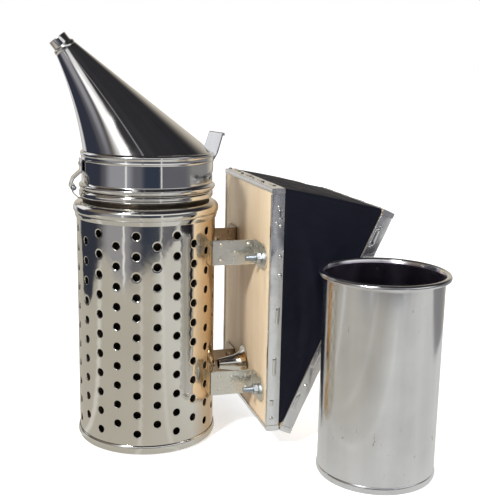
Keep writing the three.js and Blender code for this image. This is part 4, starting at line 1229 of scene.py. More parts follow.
line = [Vector(p) for p in fine_line(tab_path, 1.2, int)]
run = [0.0]
for one, other in zip(line, line[1:]):
    run.append(run[-1] + (other - one).length)
rings = []
for i, corner in enumerate(line):
    half = tab_half(run[i] / run[-1])
    widths = [half * (2 * j / TAB_ACROSS - 1) for j in range(TAB_ACROSS + 1)]
    back_at = corner - TAB_THICK * side_of(line, i)
    ring = [(corner.x, y, corner.y) for y in widths] + [(back_at.x, y, back_at.y) for y in widths[::-1]]
    rings.append([Vector(turned_about_z(*point, TAB_TURN)) + Vector((LID_X, 0, 0)) for point in ring])
tab = bevelled(mesh_piece("thumb_tab_plate", *through_rings(rings), tab_steel), 0.2)
fit(tab, "lid", "polished_steel", "thumb_tab")

# %% [markdown]
# ## Straps
# Four bent straps hold the bellows. Each starts on the shield, leaves it square as a leg, and turns
# out along the board as a foot with a round end. The legs are embossed with five small domes. Bumps
# alone would vanish at the edge, so the domes are real: the sheet's grid is fine enough to lift them.

# %% Strap shape
STRAP_HALF = 10.0
STRAP_LEVELS = {"upper": 153.5, "lower": 44.5}
LEG_Y = 27.0
FOOT_FACE = BOARD_FACE - GAP - 1.0
FOOT_END = HALF_WIDTH - 9
BOLT_Y = (28 + FOOT_END) / 2 + 0.5
DOMES = {"upper": 6.4, "lower": 5.2}


def strap_path():
    """The strap's path in plan, from the foot's end to the root on the shield: (x, y) pairs."""
    path = [(FOOT_FACE, FOOT_END), (FOOT_FACE, LEG_Y + 1.0)]
    heel = math.asin((LEG_Y + 1.0) / (SHIELD_RADIUS + GAP))
    root = math.radians(14)
    arc = [heel + (root - heel) * s / 10 for s in range(11)]
    path += [((SHIELD_RADIUS + GAP) * math.cos(a), (SHIELD_RADIUS + GAP) * math.sin(a)) for a in arc]
    return path


path = strap_path()
PLAN = [Vector(p) for p in fine_line(eased(path[:3], 1.3, 5, closed=False)[:-1] + path[2:], 0.6)]
print("strap path points:", len(PLAN))


# %% Make the straps
STRAP_THICK, STRAP_ACROSS = 1.0, 34
DOME_SPOTS = [(54.5, 1), (54.5, -1), (66.0, 0), (77.0, 1), (77.0, -1)]
SIGNS = {"near": -1, "far": 1}
CORNERS = [(side, level_name) for level_name in STRAP_LEVELS for side in SIGNS]


def dome_height(x, z, lift):
    """How far the sheet is pushed out by its domes at a place on the leg."""
    height = 0.0
    for sx, sz in DOME_SPOTS:
        away = math.hypot(x - sx, z - 0.4 - sz * lift) / 1.7
        if away < 1 and 50 < x < FOOT_FACE - 2:
            height = 1.1 * (0.5 + 0.5 * math.cos(math.pi * away))
    return height


def strap(side, level_name):
    """A strap with its domes, its round end and its bolt hole."""
    level, sign = STRAP_LEVELS[level_name], SIGNS[side]
    rings = []
    for i, corner in enumerate(PLAN):
        inward = side_of(PLAN, i)
        from_end = FOOT_END - corner.y
        half = STRAP_HALF
        if corner.x > FOOT_FACE - 0.5 and from_end < STRAP_HALF:
            half = math.sqrt(max(STRAP_HALF ** 2 - (STRAP_HALF - from_end) ** 2, 0.3))
        heights = [half * (2 * j / STRAP_ACROSS - 1) for j in range(STRAP_ACROSS + 1)]
        ring = []
        for z, depth in [(z, 0.0) for z in heights] + [(z, STRAP_THICK) for z in heights[::-1]]:
            x, y = corner - (dome_height(corner.x, z, DOMES[level_name]) - depth) * inward
            ring.append((x, sign * y, level + z))
        rings.append(ring)
    # The far straps take the darker copy, which is painted shade.
    finish = strap_tin if side == "near" else strap_brown
    made = mesh_piece(f"strap_{level_name}_{side}_plate", *through_rings(rings), finish, 50)
    cut_along_x(made, 2.9, FOOT_FACE - 3, BOARD_FACE + 1, sign * BOLT_Y, level - 1.5)
    if (side, level_name) == ("near", "lower"):
        cut_box(made, (80.0, 82.2), (-30, -25), (level + 5.6, level + 8.0), 50)
    bevelled(made, 0.16, 2, 55)
    return fit(made, "smoker_body", "strap_steel", f"strap_{level_name}_{side}")


for side, level_name in CORNERS:
    strap(side, level_name)

# %% [markdown]
# ## Bolts and nuts
# A thread is a helix, so it is made as one: the radius of each point depends on its height and its
# angle together. A nut is a hexagon whose corners are cut back by a cone at both ends, which is the
# smaller of two radii at every angle.

# %% Bolts
BOLT_RADIUS, PITCH = 2.5, 0.8
BOLT_TIP = FOOT_FACE - GAP - 4.0 - 8.0


def bolt(side, level_name):
    """A domed bolt with a cut thread on its bare end."""
    sign = SIGNS[side]
    head = BOARD_INNER + GAP
    turns = int((BOARD_FACE - BOLT_TIP - 0.4) * 8 / PITCH)
    profile = [(0, BOLT_TIP), (2.0, BOLT_TIP)]
    profile += [(BOLT_RADIUS, BOLT_TIP + 0.4 + i * PITCH / 8) for i in range(turns)]
    profile += [(BOLT_RADIUS, head), (5.5, head), (5.4, head + 0.5), (4.6, head + 1.4), (3.0, head + 2.1)]
    profile.append((0, head + 2.4))

    def thread(radius, height, angle):
        """Cuts a V-shaped thread that runs round the bare end."""
        if radius != BOLT_RADIUS or height > BOARD_FACE - 0.5:
            return radius
        turn = (height / PITCH - angle / (2 * math.pi)) % 1
        ease_in = min(1, (height - BOLT_TIP) / 1.0)
        return radius - 0.38 * abs(2 * turn - 1) - 0.25 * (1 - ease_in)

    points, faces = revolved(profile, 32, closed=False, rule=thread)
    place = laid_along_x(points, sign * BOLT_Y, STRAP_LEVELS[level_name] - 1.5)
    made = mesh_piece(f"bolt_{level_name}_{side}_thread", place, faces, bright_zinc, 60)
    return fit(made, "smoker_body", "zinc", f"bolt_{level_name}_{side}")


def nut(side, level_name):
    """A hexagonal nut with its corners chamfered."""
    sign = SIGNS[side]
    back = FOOT_FACE - GAP
    front = back - 4.0
    depths = [0, 0.12, 0.3, 0.55, 0.9, 2.0, 3.1, 3.45, 3.7, 3.88, 4.0]
    profile = [(2.8, front + 0.25), (3.05, front)] + [(4.6, front + d) for d in depths]
    profile += [(3.05, back), (2.8, back - 0.25)]

    def hexagon(radius, height, angle):
        """The smaller of the hexagon's radius and the chamfer's."""
        if radius < 4:
            return radius
        flat = 4.6 * math.cos(math.pi / 6) / math.cos((angle + math.pi / 6) % (math.pi / 3) - math.pi / 6)
        depth = min(height - front, back - height)
        return min(flat, 3.95 + 1.5 * depth)

    points, faces = revolved(profile, 72, rule=hexagon)
    place = laid_along_x(points, sign * BOLT_Y, STRAP_LEVELS[level_name] - 1.5)
    made = mesh_piece(f"nut_{level_name}_{side}_hex", place, faces, bright_zinc, 28)
    return fit(made, "smoker_body", "zinc", f"nut_{level_name}_{side}")


for side, level_name in CORNERS:
    bolt(side, level_name)
    nut(side, level_name)

# %% [markdown]
# ## Air path
# The bellows' nozzle is a small horn with a flange on the board. It points at a flanged sleeve in the
# shield and doesn't touch it: the jet drags outside air along across the gap.

# %% Nozzle and inlet
nozzle_foot, nozzle_tip = BOARD_FACE - GAP, SHIELD_RADIUS + 6.3
points, faces = revolved(eased([
    (11.0, nozzle_foot, 0.1), (14.0, nozzle_foot, 0.2), (14.0, nozzle_foot - THIN, 0.2),
    (11.8, nozzle_foot - 0.9, 0.9), (8.7, nozzle_foot - 4.6, 2.0), (6.6, nozzle_foot - 9, 3.0),
    (4.25, nozzle_tip + 0.3, 0.3), (4.1, nozzle_tip, 0.1), (3.5, nozzle_tip, 0.2),
    (6.0, nozzle_foot - 9, 3.0), (8.1, nozzle_foot - 4.6, 2.0),
], 0.4, 5), 96)
nozzle = mesh_piece("nozzle_horn", laid_along_x(points, 0, AIR_HEIGHT), faces, nozzle_steel)
fit(nozzle, "smoker_body", "polished_steel", "air_nozzle")

inlet_face = SHIELD_RADIUS + GAP
points, faces = revolved(eased([
    (7.0, POT_RADIUS + GAP), (7.6, POT_RADIUS + GAP), (7.6, inlet_face, 0.1), (9.6, inlet_face, 0.2),
    (9.6, inlet_face + THIN, 0.3), (7.5, inlet_face + THIN, 0.5), (7.0, inlet_face + 0.2, 0.3),
], 0.15), 96)
inlet = mesh_piece("inlet_sleeve", laid_along_x(points, 0, AIR_HEIGHT), faces, bead_steel)
fit(inlet, "smoker_body", "polished_steel", "air_inlet")

# %% [markdown]
# ## Boards
# A board is a plank with a few holes. A flat curve does this in one step: its outline and its holes
# are splines, its extrusion is the thickness, and its bevel rounds the edges a little. It is then
# made a mesh and stood in its place.

# %% Boards
def plank(name, out, place, holes, finish, ease=0.5):
    """A board with round holes. out says which side of its inner face the wood is on."""
    curve = bpy.data.curves.new(name, "CURVE")
    curve.dimensions, curve.fill_mode = "2D", "BOTH"
    curve.extrude = (BOARD_THICK / 2 - ease) * MM
    curve.bevel_depth, curve.bevel_resolution, curve.offset = ease * MM, 2, -ease * MM
    sketch = [[(-HALF_WIDTH, 0), (HALF_WIDTH, 0), (HALF_WIDTH, BOARD_HEIGHT), (-HALF_WIDTH, BOARD_HEIGHT)]]
    for radius, y, z in holes:
        turns = [2 * math.pi * k / 32 for k in range(32)]
        sketch.append([(y + radius * math.cos(a), z - radius * math.sin(a)) for a in turns])
    for outline in sketch:
        spline = curve.splines.new("POLY")
        spline.points.add(len(outline) - 1)
        spline.use_cyclic_u = True
        for corner, (y, z) in zip(spline.points, outline):
            corner.co = (y * MM, z * MM, 0, 1)
    shape = linked(name, curve)
    graph = bpy.context.evaluated_depsgraph_get()
    mesh = bpy.data.meshes.new_from_object(shape.evaluated_get(graph))
    flat_points = [tuple(c / MM for c in v.co) for v in mesh.vertices]
    faces = [tuple(p.vertices) for p in mesh.polygons]
    bpy.data.objects.remove(shape)
    bpy.data.meshes.remove(mesh)
    middle = out * BOARD_THICK / 2
    points = [place(middle + d, y, z) for y, z, d in flat_points]
    return mesh_piece(name, points, faces, finish, 30)


bolt_holes = [(2.9, s * BOLT_Y, level - 1.5 - BOARD_FOOT) for s in (-1, 1) for level in STRAP_LEVELS.values()]
front = plank("front_plank", -1, on_front, [(6.3, 0, AIR_HEIGHT - BOARD_FOOT), *bolt_holes], pale_wood)
fit(front, "smoker_body", "wood", "front_board")
back = plank("back_plank", 1, on_back, [(11.0, 0, 84.0)], leaning_wood)
fit(back, "back_board", "wood", "back_board")

# %% [markdown]
# ## Edge strips
# Thin tinplate is folded over every edge of both boards. It was bent by hand, so it wanders a little.
# The strip's section is swept along the board in short steps, and a smooth noise moves each step by
# up to a sixth of a millimetre, which is enough to break its reflections up.

# %% Strip sweep
EDGE_OUT, LIP, FLAP = GAP + THIN, 2.6, 3.6
STRIP_SECTION = eased([
    (0, GAP, 0.1), (BOARD_THICK + GAP, GAP, 0.3), (BOARD_THICK + GAP, -LIP, 0.1),
    (BOARD_THICK + EDGE_OUT, -LIP, 0.25), (BOARD_THICK + EDGE_OUT, EDGE_OUT, 0.9), (0, EDGE_OUT, 0.25),
], 0.2, 4)


def wander(place, seed, amount):
    """A smooth small move that depends only on the place and a seed."""
    return amount * noise.noise(Vector((place, 7.3 * seed, 0.0)))


def swept_strip(name, place_point, start, end, seed):
    """The strip's section swept from start to end; place_point puts (through, past, along) in place."""
    steps = int((end - start) / 2.5)
    rings = []
    for s in range(steps + 1):
        along = start + (end - start) * s / steps
        ring = []
        for through, past in STRIP_SECTION:
            free = min(1.0, max(0.0, through - 2) / 6)
            away = wander(along / 17 + 0.06 * through, seed, 0.32)
            away += wander(along / 6 + 0.1 * through, seed + 5, 0.12)
            push = wander(along / 14, seed + 9, 0.25) * free
            ring.append(place_point(through + max(push, -0.15), past + max(away, -0.18), along))
        rings.append(ring)
    return mesh_piece(name, *through_rings(rings), edge_tin, 40)


def folded_flap(name, place_point, past_side, low, high):
    """The end strip's corner, folded down over the side: a thin rounded patch."""
    outline = [(0, low), (BOARD_THICK + EDGE_OUT, low), (BOARD_THICK + EDGE_OUT, high), (0, high)]
    faces_at = [past_side * (HALF_WIDTH + past) for past in (GAP, EDGE_OUT + 0.12)]
    rings = [[place_point(through, y, up) for through, up in eased(outline, 0.8, 3)] for y in faces_at]
    return mesh_piece(name, *through_rings(rings), edge_tin, 40)


# %% Strips round both boards
def edge_strips(board_name, out, place, body):
    """The four strips of a board."""
    for index, (side, sign) in enumerate(SIGNS.items()):
        strip = swept_strip(
            f"{board_name}_edge_{side}",
            lambda through, past, along: place(out * through, sign * (HALF_WIDTH + past), along),
            FLAP + GAP, BOARD_HEIGHT - FLAP - GAP, 10 * out + index + 31,
        )
        fit(strip, body, "tinplate", f"{board_name}_strip_{side}")
    for index, (end, sign, edge) in enumerate((("top", 1, BOARD_HEIGHT), ("foot", -1, 0.0))):
        strip = swept_strip(
            f"{board_name}_edge_{end}",
            lambda through, past, along: place(out * through, along, edge + sign * past),
            -HALF_WIDTH - GAP, HALF_WIDTH + GAP, 10 * out + index + 43,
        )
        low, high = sorted((edge - sign * FLAP, edge + sign * EDGE_OUT))
        flaps = [
            folded_flap(f"flap_{turn}", lambda through, y, up: place(out * through, y, up), turn, low, high)
            for turn in (-1, 1)
        ]
        fit(joined_pieces(strip.name, [strip, *flaps]), body, "tinplate", f"{board_name}_strip_{end}")


edge_strips("front", -1, on_front, "smoker_body")
edge_strips("back", 1, on_back, "back_board")

# %% [markdown]
# ## Nails and staples
# Small wire staples and nails hold the strips. They repeat with only their place changing, so each is
# a node tree that sets a small shape on points. A point carries two attributes: which way it is
# turned, and how far it is stretched. The tin is pressed up beside each staple, so the same wire shape,
# made wide and flat, is joined to it as a low ridge.

# %% Trees for nails and staples
def read(tree, name, kind):
    """A named attribute of the points."""
    return add(tree, "GeometryNodeInputNamedAttribute", {"Name": name}, data_type=kind).outputs["Attribute"]


NAIL_INPUTS = {"Head Radius": "Float", "Head Height": "Float", "Seed": "Int", "Finish": "Material"}
t, given = new_tree("set_staples", {
    "Length": "Float", "Wire Radius": "Float", "Drop": "Float", "Finish": "Material",
})
staple_tree = t
wire = add(t, "GeometryNodeCurvePrimitiveLine", {"Start": (-0.5, 0, 0), "End": (0.5, 0, 0)})
wire = add(t, "GeometryNodeResampleCurve", {"Curve": wire, "Count": 15})
x, _, _ = places_in(t)
sunk = (x.do("ABSOLUTE") * 2.0).do("POWER", 12.0) * given["Drop"]
wire = moved_to(t, wire, placed(t, x * given["Length"], 0.0, sunk * -1.0))
ring = add(t, "GeometryNodeCurvePrimitiveCircle", {"Resolution": 8, "Radius": given["Wire Radius"]})
wire = add(t, "GeometryNodeCurveToMesh", {"Curve": wire, "Profile Curve": ring, "Fill Caps": True})
ridge = add(t, "GeometryNodeTransform", {"Geometry": wire, "Scale": (1.12, 3.4, 0.8)})
turned = add(t, "FunctionNodeEulerToRotation", {0: read(t, "turn", "FLOAT_VECTOR")})
longer = placed(t, read(t, "stretch", "FLOAT"), 1.0, 1.0)
wires = copies(t, given["Geometry"], together(t, [ridge, wire]), Rotation=turned, Scale=longer)
end_tree(t, wires, given["Finish"])

t, given = new_tree("set_nails", NAIL_INPUTS)
nail_tree = t
head = add(t, "GeometryNodeMeshUVSphere", {"Segments": 14, "Rings": 8, "Radius": given["Head Radius"]})
flatter = placed(t, 1.0, 1.0, given["Head Height"] / given["Head Radius"])
head = add(t, "GeometryNodeTransform", {"Geometry": head, "Scale": flatter})
turned = add(t, "FunctionNodeEulerToRotation", {0: read(t, "turn", "FLOAT_VECTOR")})
varied = add(t, "FunctionNodeRandomValue", {2: 0.86, 3: 1.12, "Seed": given["Seed"]}).outputs[1]
end_tree(t, copies(t, given["Geometry"], head, Rotation=turned, Scale=varied), given["Finish"])


# %% [markdown]
# The near side strips have the staples and nails where this smoker has them, some a little crooked.
# The other strips have theirs at a steady spacing, moved a little by a seeded random number.

# %% Where the fixings are
NEAR_MARKS = {
    "front": {
        "staples": [
            (-2.8, 173.0, 6.5, 2), (-3.6, 93.5, 13.5, 2), (-4.9, 52.2, 14.0, 1), (-6.4, 22.5, 5.0, 3),
        ],
        "nails": [(-4.5, 178.4), (-5.7, 166.2), (-2.7, 164.4), (-2.7, 140.6), (-2.4, 125.8), (-6.2, 9.6)],
    },
    "back": {
        "staples": [
            (3.5, 170.6, 12.3, -1), (2.6, 62.1, 13.0, 2), (3.0, 24.8, 13.0, 0), (3.6, 118.0, 12.6, -2),
        ],
        "nails": [(4.3, 179.0), (3.4, 143.0), (3.0, 92.0), (4.6, 40.0)],
    },
}
FRAMES = {"front": (on_front, -1, 0.0, "smoker_body"), "back": (on_back, 1, OPEN, "back_board")}


def fixing_points(name, spots):
    """Points with their turn and stretch."""
    mesh = bpy.data.meshes.new(name)
    mesh.from_pydata([tuple(MM * c for c in spot[0]) for spot in spots], [], [])
    turn = mesh.attributes.new("turn", "FLOAT_VECTOR", "POINT")
    turn.data.foreach_set("vector", [c for spot in spots for c in spot[1]])
    stretch = mesh.attributes.new("stretch", "FLOAT", "POINT")
    stretch.data.foreach_set("value", [spot[2] for spot in spots])
    return linked(name, mesh)


def facing(normal, along):
    """The turn that puts a shape's z on a normal and its x along a direction."""
    z = Vector(normal).normalized()
    x = (Vector(along) - Vector(along).dot(z) * z).normalized()
    return tuple(Matrix((x, z.cross(x), z)).transposed().to_euler())

def set_nails(name, spots, radius, height, seed, finish, body, slot):
    """Domed heads on spots, with their radius and height in millimetres."""
    heads = fixing_points(name, spots)
    run_tree(heads, nail_tree, {
        "Head Radius": radius * MM, "Head Height": height * MM, "Seed": seed, "Finish": finish,
    })
    return fit(heads, body, slot)
STAPLE = 12.6
for board_name, (place, out, lean, body) in FRAMES.items():
    dice = random.Random(17 if board_name == "front" else 23)
    origin = Vector(place(0, 0, 0))
    up = Vector(place(0, 0, 1)) - origin
    thick = Vector(place(1, 0, 0)) - origin
    staples, nails = [], []
    outside = HALF_WIDTH + EDGE_OUT
    for through, along, length, tilt_degrees in NEAR_MARKS[board_name]["staples"]:
        lean_to = up + math.tan(math.radians(tilt_degrees)) * thick
        staples.append((place(through, -outside - 0.15, along), facing((0, -1, 0), lean_to), length / STAPLE))
    for through, along in NEAR_MARKS[board_name]["nails"]:
        nails.append((place(through, -outside - 0.1, along), facing((0, -1, 0), up), 1.0))
    for k in range(5):
        along = 22 + 37 * k + dice.uniform(-3, 3)
        through = out * (3.6 + dice.uniform(-1, 1))
        staples.append((place(through, outside + 0.15, along), facing((0, 1, 0), up), 1.0))
        spot = place(out * (5.2 + dice.uniform(-1, 1)), outside + 0.1, along + 17)
        nails.append((spot, facing((0, 1, 0), up), 1.0))
    for end, edge in ((1, BOARD_HEIGHT + EDGE_OUT), (-1, -EDGE_OUT)):
        for k in range(4):
            y = -49 + 32.5 * k + dice.uniform(-3, 3)
            through = out * (3.8 + dice.uniform(-1, 1))
            spot = place(through, y, edge + 0.15 * end)
            staples.append((spot, facing(end * up, (0, 1, 0)), 0.95))
            spot = place(out * (5.4 + dice.uniform(-1, 1)), y + 16, edge + 0.1 * end)
            nails.append((spot, facing(end * up, (0, 1, 0)), 1.0))
    wires = fixing_points(f"{board_name}_staples", staples)
    run_tree(wires, staple_tree, {
        "Length": STAPLE * MM, "Wire Radius": 0.5 * MM, "Drop": 0.9 * MM, "Finish": staple_wire,
    })
    fit(wires, body, "tinplate")
    set_nails(f"{board_name}_nails", nails, 1.5, 0.75, 11, staple_wire, body, "tinplate")

# %% [markdown]
# The same nail tree sets the rivets of the smoker: two on the hinge's leaf, two on the thumb tab's
# foot, and a pair at the root of each strap.

# %% Rivets
UP = (0, 0, 1)
rivets = [((skirt_x - SHEET - 0.05, y, top - 10.2), facing((-1, 0, 0), UP), 1.0) for y in (-5.6, 5.6)]
outwards = Vector((math.cos(TAB_TURN), math.sin(TAB_TURN), 0))
sideways = Vector((-math.sin(TAB_TURN), math.cos(TAB_TURN), 0))
for aside in (-7.0, 7.0):
    spot = Vector((LID_X, 0, top - 13.5)) + (foot_x + 1.05) * outwards + aside * sideways
    rivets.append((tuple(spot), facing(outwards, UP), 1.0))
set_nails("lid_rivets", rivets, 1.5, 0.7, 5, bead_steel, "lid", "polished_steel")

rivets = []
for level in STRAP_LEVELS.values():
    for sign in (-1, 1):
        a = sign * math.radians(19)
        out = Vector((math.cos(a), math.sin(a), 0))
        for z in (-5.5, 5.5):
            spot = out * (SHIELD_RADIUS + GAP + 1.05) + Vector((0, 0, level + z))
            rivets.append((tuple(spot), facing(out, UP), 1.0))
set_nails("strap_rivets", rivets, 1.7, 0.8, 3, strap_tin, "smoker_body", "strap_steel")

# %% [markdown]
# ## The bellows' cover
# The cover is one strip of leatherette wrapped round the open wedge between the boards: up the near
# side, over the top, down the far side and across the small gap at the foot. It is a little wider and
# higher than the boards, so that no bare wood shows at its edges. It could be cloth simulated, but it
# is nailed along both edges and held half open by the spring, so it hangs in a few slow folds that
# are easier to list. The mesh is a closed band of points round the wedge, and each point
# knows its share of the way from the front board to the back one.

# %% Cover
COVER_FOOT, COVER_TOP = 4.0, BOARD_HEIGHT + 0.5
COVER_ROUND = 4.0
# Each fold has a start and an end as (share, height as a part of the cover's), a depth in mm and a width.
FOLDS = [
    ((0.05, 0.98), (0.80, 0.45), 0.9, 0.07), ((0.02, 0.90), (0.55, 0.30), -0.7, 0.08),
    ((0.97, 0.99), (0.35, 0.55), 0.6, 0.08), ((0.5, 0.6), (0.9, 0.12), 0.5, 0.09),
]


def band_outline():
    """The band's line round the wedge: (y, height along the boards, outward y, outward height)."""
    w, r = HALF_WIDTH + 0.6, COVER_ROUND
    line = []

    def straight(y0, h0, y1, h1, normal):
        steps = max(1, round(math.hypot(y1 - y0, h1 - h0) / 3.2))
        for s in range(steps):
            line.append((y0 + (y1 - y0) * s / steps, h0 + (h1 - h0) * s / steps, *normal))

    def corner(y, h, start):
        for s in range(5):
            a = math.radians(start - 90 * s / 5)
            line.append((y + r * math.cos(a), h + r * math.sin(a), math.cos(a), math.sin(a)))

    straight(-w, COVER_FOOT + r, -w, COVER_TOP - r, (-1, 0))
    corner(-w + r, COVER_TOP - r, 180)
    straight(-w + r, COVER_TOP, w - r, COVER_TOP, (0, 1))
    corner(w - r, COVER_TOP - r, 90)
    straight(w, COVER_TOP - r, w, COVER_FOOT + r, (1, 0))
    corner(w - r, COVER_FOOT + r, 0)
    straight(w - r, COVER_FOOT, -w + r, COVER_FOOT, (0, -1))
    corner(-w + r, COVER_FOOT + r, -90)
    return line


def fold(y, height, share, normal):
    """How far the sheet stands out of the plain wedge, in mm."""
    free = math.sin(math.pi * share)
    slack = free ** 0.8
    if normal[1] > 0.5:
        belly = 3.4 * math.sin(math.pi * min(1, share * 1.25)) * (1 - (y / 70) ** 2) * (1 - 0.35 * share)
        ripple = 0.7 * noise.noise(Vector((y / 23, share * 2.2, 4.0)))
        return max(0.0, belly) * free ** 0.3 + slack * ripple
    up = height / COVER_TOP
    crease = 0.0
    for start, end, depth, width in FOLDS:
        along = (up - start[1]) / (end[1] - start[1])
        if -0.1 < along < 1.1:
            line_at = start[0] + (end[0] - start[0]) * along
            away = (share - line_at) / width
            ends = max(0.0, math.sin(math.pi * min(1, max(0, along))))
            crease += depth * math.exp(-away * away) * ends
    hollow = -2.2 * up * slack * math.sin(math.pi * up)
    ripple = 0.55 * noise.noise(Vector((share * 3.1, height / 31, 2.0 + y / 60)))
    return hollow + slack * (crease + ripple)


WIDTHS = 30
line = band_outline()
rings = []
for i in range(WIDTHS + 1):
    share = i / WIDTHS
    lean = share * OPEN
    ring = []
    for y, height, out_y, out_h in line:
        front_at = Vector((BOARD_INNER + GAP, 0, FOLD_Z + height))
        away = fold(y, height, share, (out_y, out_h))
        spot = front_at.lerp(Vector(on_back(-GAP, 0, height)), share)
        spot += away * out_h * Vector((math.sin(lean), 0, math.cos(lean)))
        ring.append((spot.x, y + away * out_y, spot.z))
    rings.append(ring)
cover = mesh_piece("bellows_skin", *through_rings(rings, capped=False), leatherette, 180)
if sum(f.normal.y * f.center.y for f in cover.data.polygons) < 0:
    cover.data.flip_normals()
wall = cover.modifiers.new("wall", "SOLIDIFY")
wall.thickness, wall.offset = 1.0 * MM, -1.0
smooth = cover.modifiers.new("smooth", "SUBSURF")
smooth.levels = smooth.render_levels = 1
settle(cover, 180)

# %% [markdown]
# When the bellows are squeezed, the cover's edges follow the two boards and what is between them
# closes up like a fan about the hinge line. The cover and the spring are not blended across the hinge
# here: each has its place made part of its mesh, and the model's piece that it stands for is hidden.

# %% Set the cover and the spring in place
def fan_out(piece, node):
    """Makes a piece's place part of its mesh and hides the node it stands for."""
    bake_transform(piece)
    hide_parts(node)


fan_out(cover, "bellows_cover")

# %% [markdown]
# ## The spring
# A coil between the boards opens the bellows again. A spiral curve with a round profile is a node
# tree of four nodes, with its turns and sizes as inputs.

# %% Spring
t, given = new_tree("wind_spring", {
    "Turns": "Float", "Coil Radius": "Float", "Wire Radius": "Float", "Length": "Float", "Finish": "Material",
})
spring_tree = t
coil = add(t, "GeometryNodeCurveSpiral", {
    "Resolution": 28, "Rotations": given["Turns"], "Start Radius": given["Coil Radius"],
    "End Radius": given["Coil Radius"], "Height": given["Length"],
})
ring = add(t, "GeometryNodeCurvePrimitiveCircle", {"Resolution": 10, "Radius": given["Wire Radius"]})
coil = add(t, "GeometryNodeCurveToMesh", {"Curve": coil, "Profile Curve": ring, "Fill Caps": True})
end_tree(t, coil, given["Finish"])

SPRING_HEIGHT, SPRING_RADIUS, SPRING_WIRE, SPRING_TURNS = 138.0, 13.0, 1.0, 6.0
start = Vector((BOARD_INNER, 0, FOLD_Z + SPRING_HEIGHT))
span = Vector(on_back(0, 0, SPRING_HEIGHT)) - start
clear = (SPRING_RADIUS + SPRING_WIRE) * math.tan(OPEN / 2) + SPRING_WIRE + GAP
spring = grown("bellows_coil", spring_tree, {
    "Turns": SPRING_TURNS, "Coil Radius": SPRING_RADIUS * MM, "Wire Radius": SPRING_WIRE * MM,
    "Length": (span.length - 2 * clear) * MM, "Finish": spring_wire,
})
along = span.normalized()
laid_over = along.to_track_quat("Z", "Y").to_matrix().to_4x4()
spring.data.transform(Matrix.Translation((start + clear * along) * MM) @ laid_over)
fan_out(spring, "bellows_spring")

# %% [markdown]
# ## Intake valve
# A leather flap hangs inside the back board over a hole, under a tin bar. Air comes in past it when
# the bellows open, and it is blown shut when they close. It is a sheet with a slight curl.

# %% Flap and bar
FLAP_TOP, FLAP_DROP, FLAP_HALF = 84 + 11 + 4, 30.0, 15.0
FLAP_ROWS, FLAP_ACROSS = 24, 20
rings = []
for i in range(FLAP_ROWS + 1):
    share = i / FLAP_ROWS
    height = FLAP_TOP - FLAP_DROP * share
    curl = 0.22 * share ** 2
    half = FLAP_HALF - 0.15
    if share > 0.85:
        half -= 3.0 * ((share - 0.85) / 0.15) ** 2
    widths = [half * (2 * j / FLAP_ACROSS - 1) for j in range(FLAP_ACROSS + 1)]
    ring = []
    for depth, ys in ((0.02 + GAP, widths), (1.3 + GAP, widths[::-1])):
        for y in ys:
            wave = 0.1 * share * noise.noise(Vector((y / 9, height / 9, 1.0)))
            ring.append(on_back(-depth - curl - wave, y, height))
    rings.append(ring)
flap = bevelled(mesh_piece("valve_flap", *through_rings(rings), flap_leather, 50), 0.2, 2, 50)
fit(flap, "intake_flap", "flap_leather", "intake_flap")

outline = eased([(-15, 0), (15, 0), (15, 6), (-15, 6)], 1.2, 4)
rings = [[on_back(x, y, FLAP_TOP + 2 * GAP + z) for y, z in outline] for x in (-GAP - 2.1, -GAP)]
bar = bevelled(mesh_piece("flap_bar_plate", *through_rings(rings), strap_tin, 40), 0.3)
fit(bar, "back_board", "tinplate", "flap_bar")

# %% [markdown]
# ## Perforated discs
# The grate and the can's floor are discs with a hole in the middle and rings of 6 and 12 round it. The
# tree numbers the holes from the middle outwards and works out each one's ring and place in it, sets
# cutters there, and takes them out of the disc with a boolean.

# %% Tree for a perforated disc
DISC_HOLES = 1 + 6 + 12
t, given = new_tree("punch_disc", {
    "Radius": "Float", "Thickness": "Float", "Hole Radius": "Float", "Ring Step": "Float",
    "Holes": "Int", "Finish": "Material",
})
disc_tree = t
disc = add(t, "GeometryNodeMeshCylinder", {
    "Vertices": 96, "Radius": given["Radius"], "Depth": given["Thickness"],
})
line = add(t, "GeometryNodeMeshLine", {"Count": given["Holes"], "Offset": (0, 0, 0)})
number = Number(add(t, "GeometryNodeInputIndex").outputs[0])
ring = (((number * 12.0 + 9.0).do("SQRT") - 3.0001) / 6.0).do("CEIL")
place_in = number - 1.0 - ring * (ring - 1.0) * 3.0
turn = place_in * (math.pi / 3) / ring.do("MAXIMUM", 1.0)
reach = ring * given["Ring Step"]
spots = moved_to(t, line, placed(t, reach * turn.do("COSINE"), reach * turn.do("SINE"), 0.0))
cutter = add(t, "GeometryNodeMeshCylinder", {
    "Vertices": 20, "Radius": given["Hole Radius"], "Depth": given["Thickness"] * 3.0,
})
cutters = add(t, "GeometryNodeRealizeInstances", {"Geometry": copies(t, spots, cutter)})
cut_disc = add(t, "GeometryNodeMeshBoolean", {"Mesh 1": disc, "Mesh 2": cutters}, operation="DIFFERENCE")
end_tree(t, cut_disc, given["Finish"])


def punched_disc(name, radius, thickness, hole, step, finish, place):
    """A perforated disc with softened edges, at a place in millimetres."""
    disc = grown(name, disc_tree, {
        "Radius": radius * MM, "Thickness": thickness * MM, "Hole Radius": hole * MM,
        "Ring Step": step * MM, "Holes": DISC_HOLES, "Finish": finish,
    })
    bevelled(disc, 0.12, 2, 50)
    disc.data.transform(Matrix.Translation(Vector(place) * MM))
    return disc


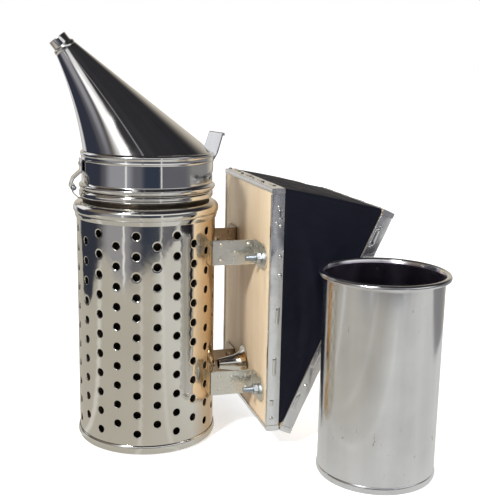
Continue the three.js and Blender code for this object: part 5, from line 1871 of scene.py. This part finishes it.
# %% Grate
GRATE_TOP = 65.2
LEG_OUTLINE = [(44.2, 2.6), (45.4, 2.6), (45.4, 64.2), (44.2, 64.2)]
grate = punched_disc("grate_disc", 47.2, 1.2, 3.5, 14, fired_iron, (0, 0, GRATE_TOP - 0.6))
legs = [
    bevelled(extruded(f"leg_{azimuth}", LEG_OUTLINE, -4, 4, fired_iron, math.radians(azimuth)), 0.2)
    for azimuth in (60, 180, 300)
]
grate = joined_pieces("grate_disc", [grate, *legs])
fit(grate, "smoker_body", "grate_steel", "fire_grate")

# %% [markdown]
# ## The inner can
# The can drops into the pot and holds the fuel. Its rim is a full roll over a wire, its foot has a
# small bead, and the sheet laps over itself in one upright seam, which the turning rule steps out.

# %% Can
CAN_RADIUS, CAN_ROLL = 44.0, 4.3
CAN_HEIGHT = can_high.z
CAN_SEAM = math.radians(128)


def can_lap(radius, height, angle):
    """The lapped seam stands a little proud, inside and out, below the rim and above the foot."""
    on_wall = 7 < height < CAN_HEIGHT - 5 and 43 < radius < 44.5
    in_lap = 0 <= angle - CAN_SEAM < math.radians(8)
    return radius + (0.3 if on_wall and in_lap else 0.0)


roll, middle = CAN_ROLL / 2, CAN_RADIUS + CAN_ROLL / 2
rim_at = CAN_HEIGHT - roll
inner = CAN_RADIUS - THIN
profile = [
    (42.9, 0, 0.3), (44.0, 0.5, 0.8), (44.75, 2.2, 1.2), (44.8, 4.0, 1.0), (44.4, 5.5, 0.5), (44.0, 6.1, 0.3),
    (44.0, 8.0, 0.2), (44.0, CAN_HEIGHT - 6, 0.2), (44.0, rim_at - 0.6 * roll, 0.2),
]
for i in range(13):
    angle = math.radians(-38 + 210 * i / 12)
    profile.append((middle + roll * math.cos(angle), rim_at + roll * math.sin(angle), 0.05))
profile += [
    (inner, rim_at - 0.6 * roll, 0.3), (inner, CAN_HEIGHT - 6, 0.2), (inner, 8.0, 0.2), (inner, 2.7, 0.2),
    (inner - 1.6, 2.7, 0.2), (inner - 1.6, 0, 0.2),
]
can = spun("can_shell", profile, can_steel, 0.2, segments=160, x=CAN_X, y=CAN_Y, rule=can_lap)
fit(can, "inner_can", "polished_steel", "can_wall")
can_base = punched_disc("can_base", inner - GAP, SHEET, 2.5, 13, can_steel, (CAN_X, CAN_Y, 3 + SHEET / 2))
fit(can_base, "inner_can", "polished_steel", "can_floor")

# %% [markdown]
# ## Size of the finished smoker
# The finished smoker has to fill the same box as the model. How far each corner of its box lies from
# the model's is printed, with the count of triangles.

# %% Finish
made_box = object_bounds()
print("triangles in all:", sum(dressed.values()))
grown_by = [[round((a - b) / MM, 2) for a, b in zip(one, other)] for one, other in zip(made_box, cad_box)]
print("grown by mm:", grown_by)
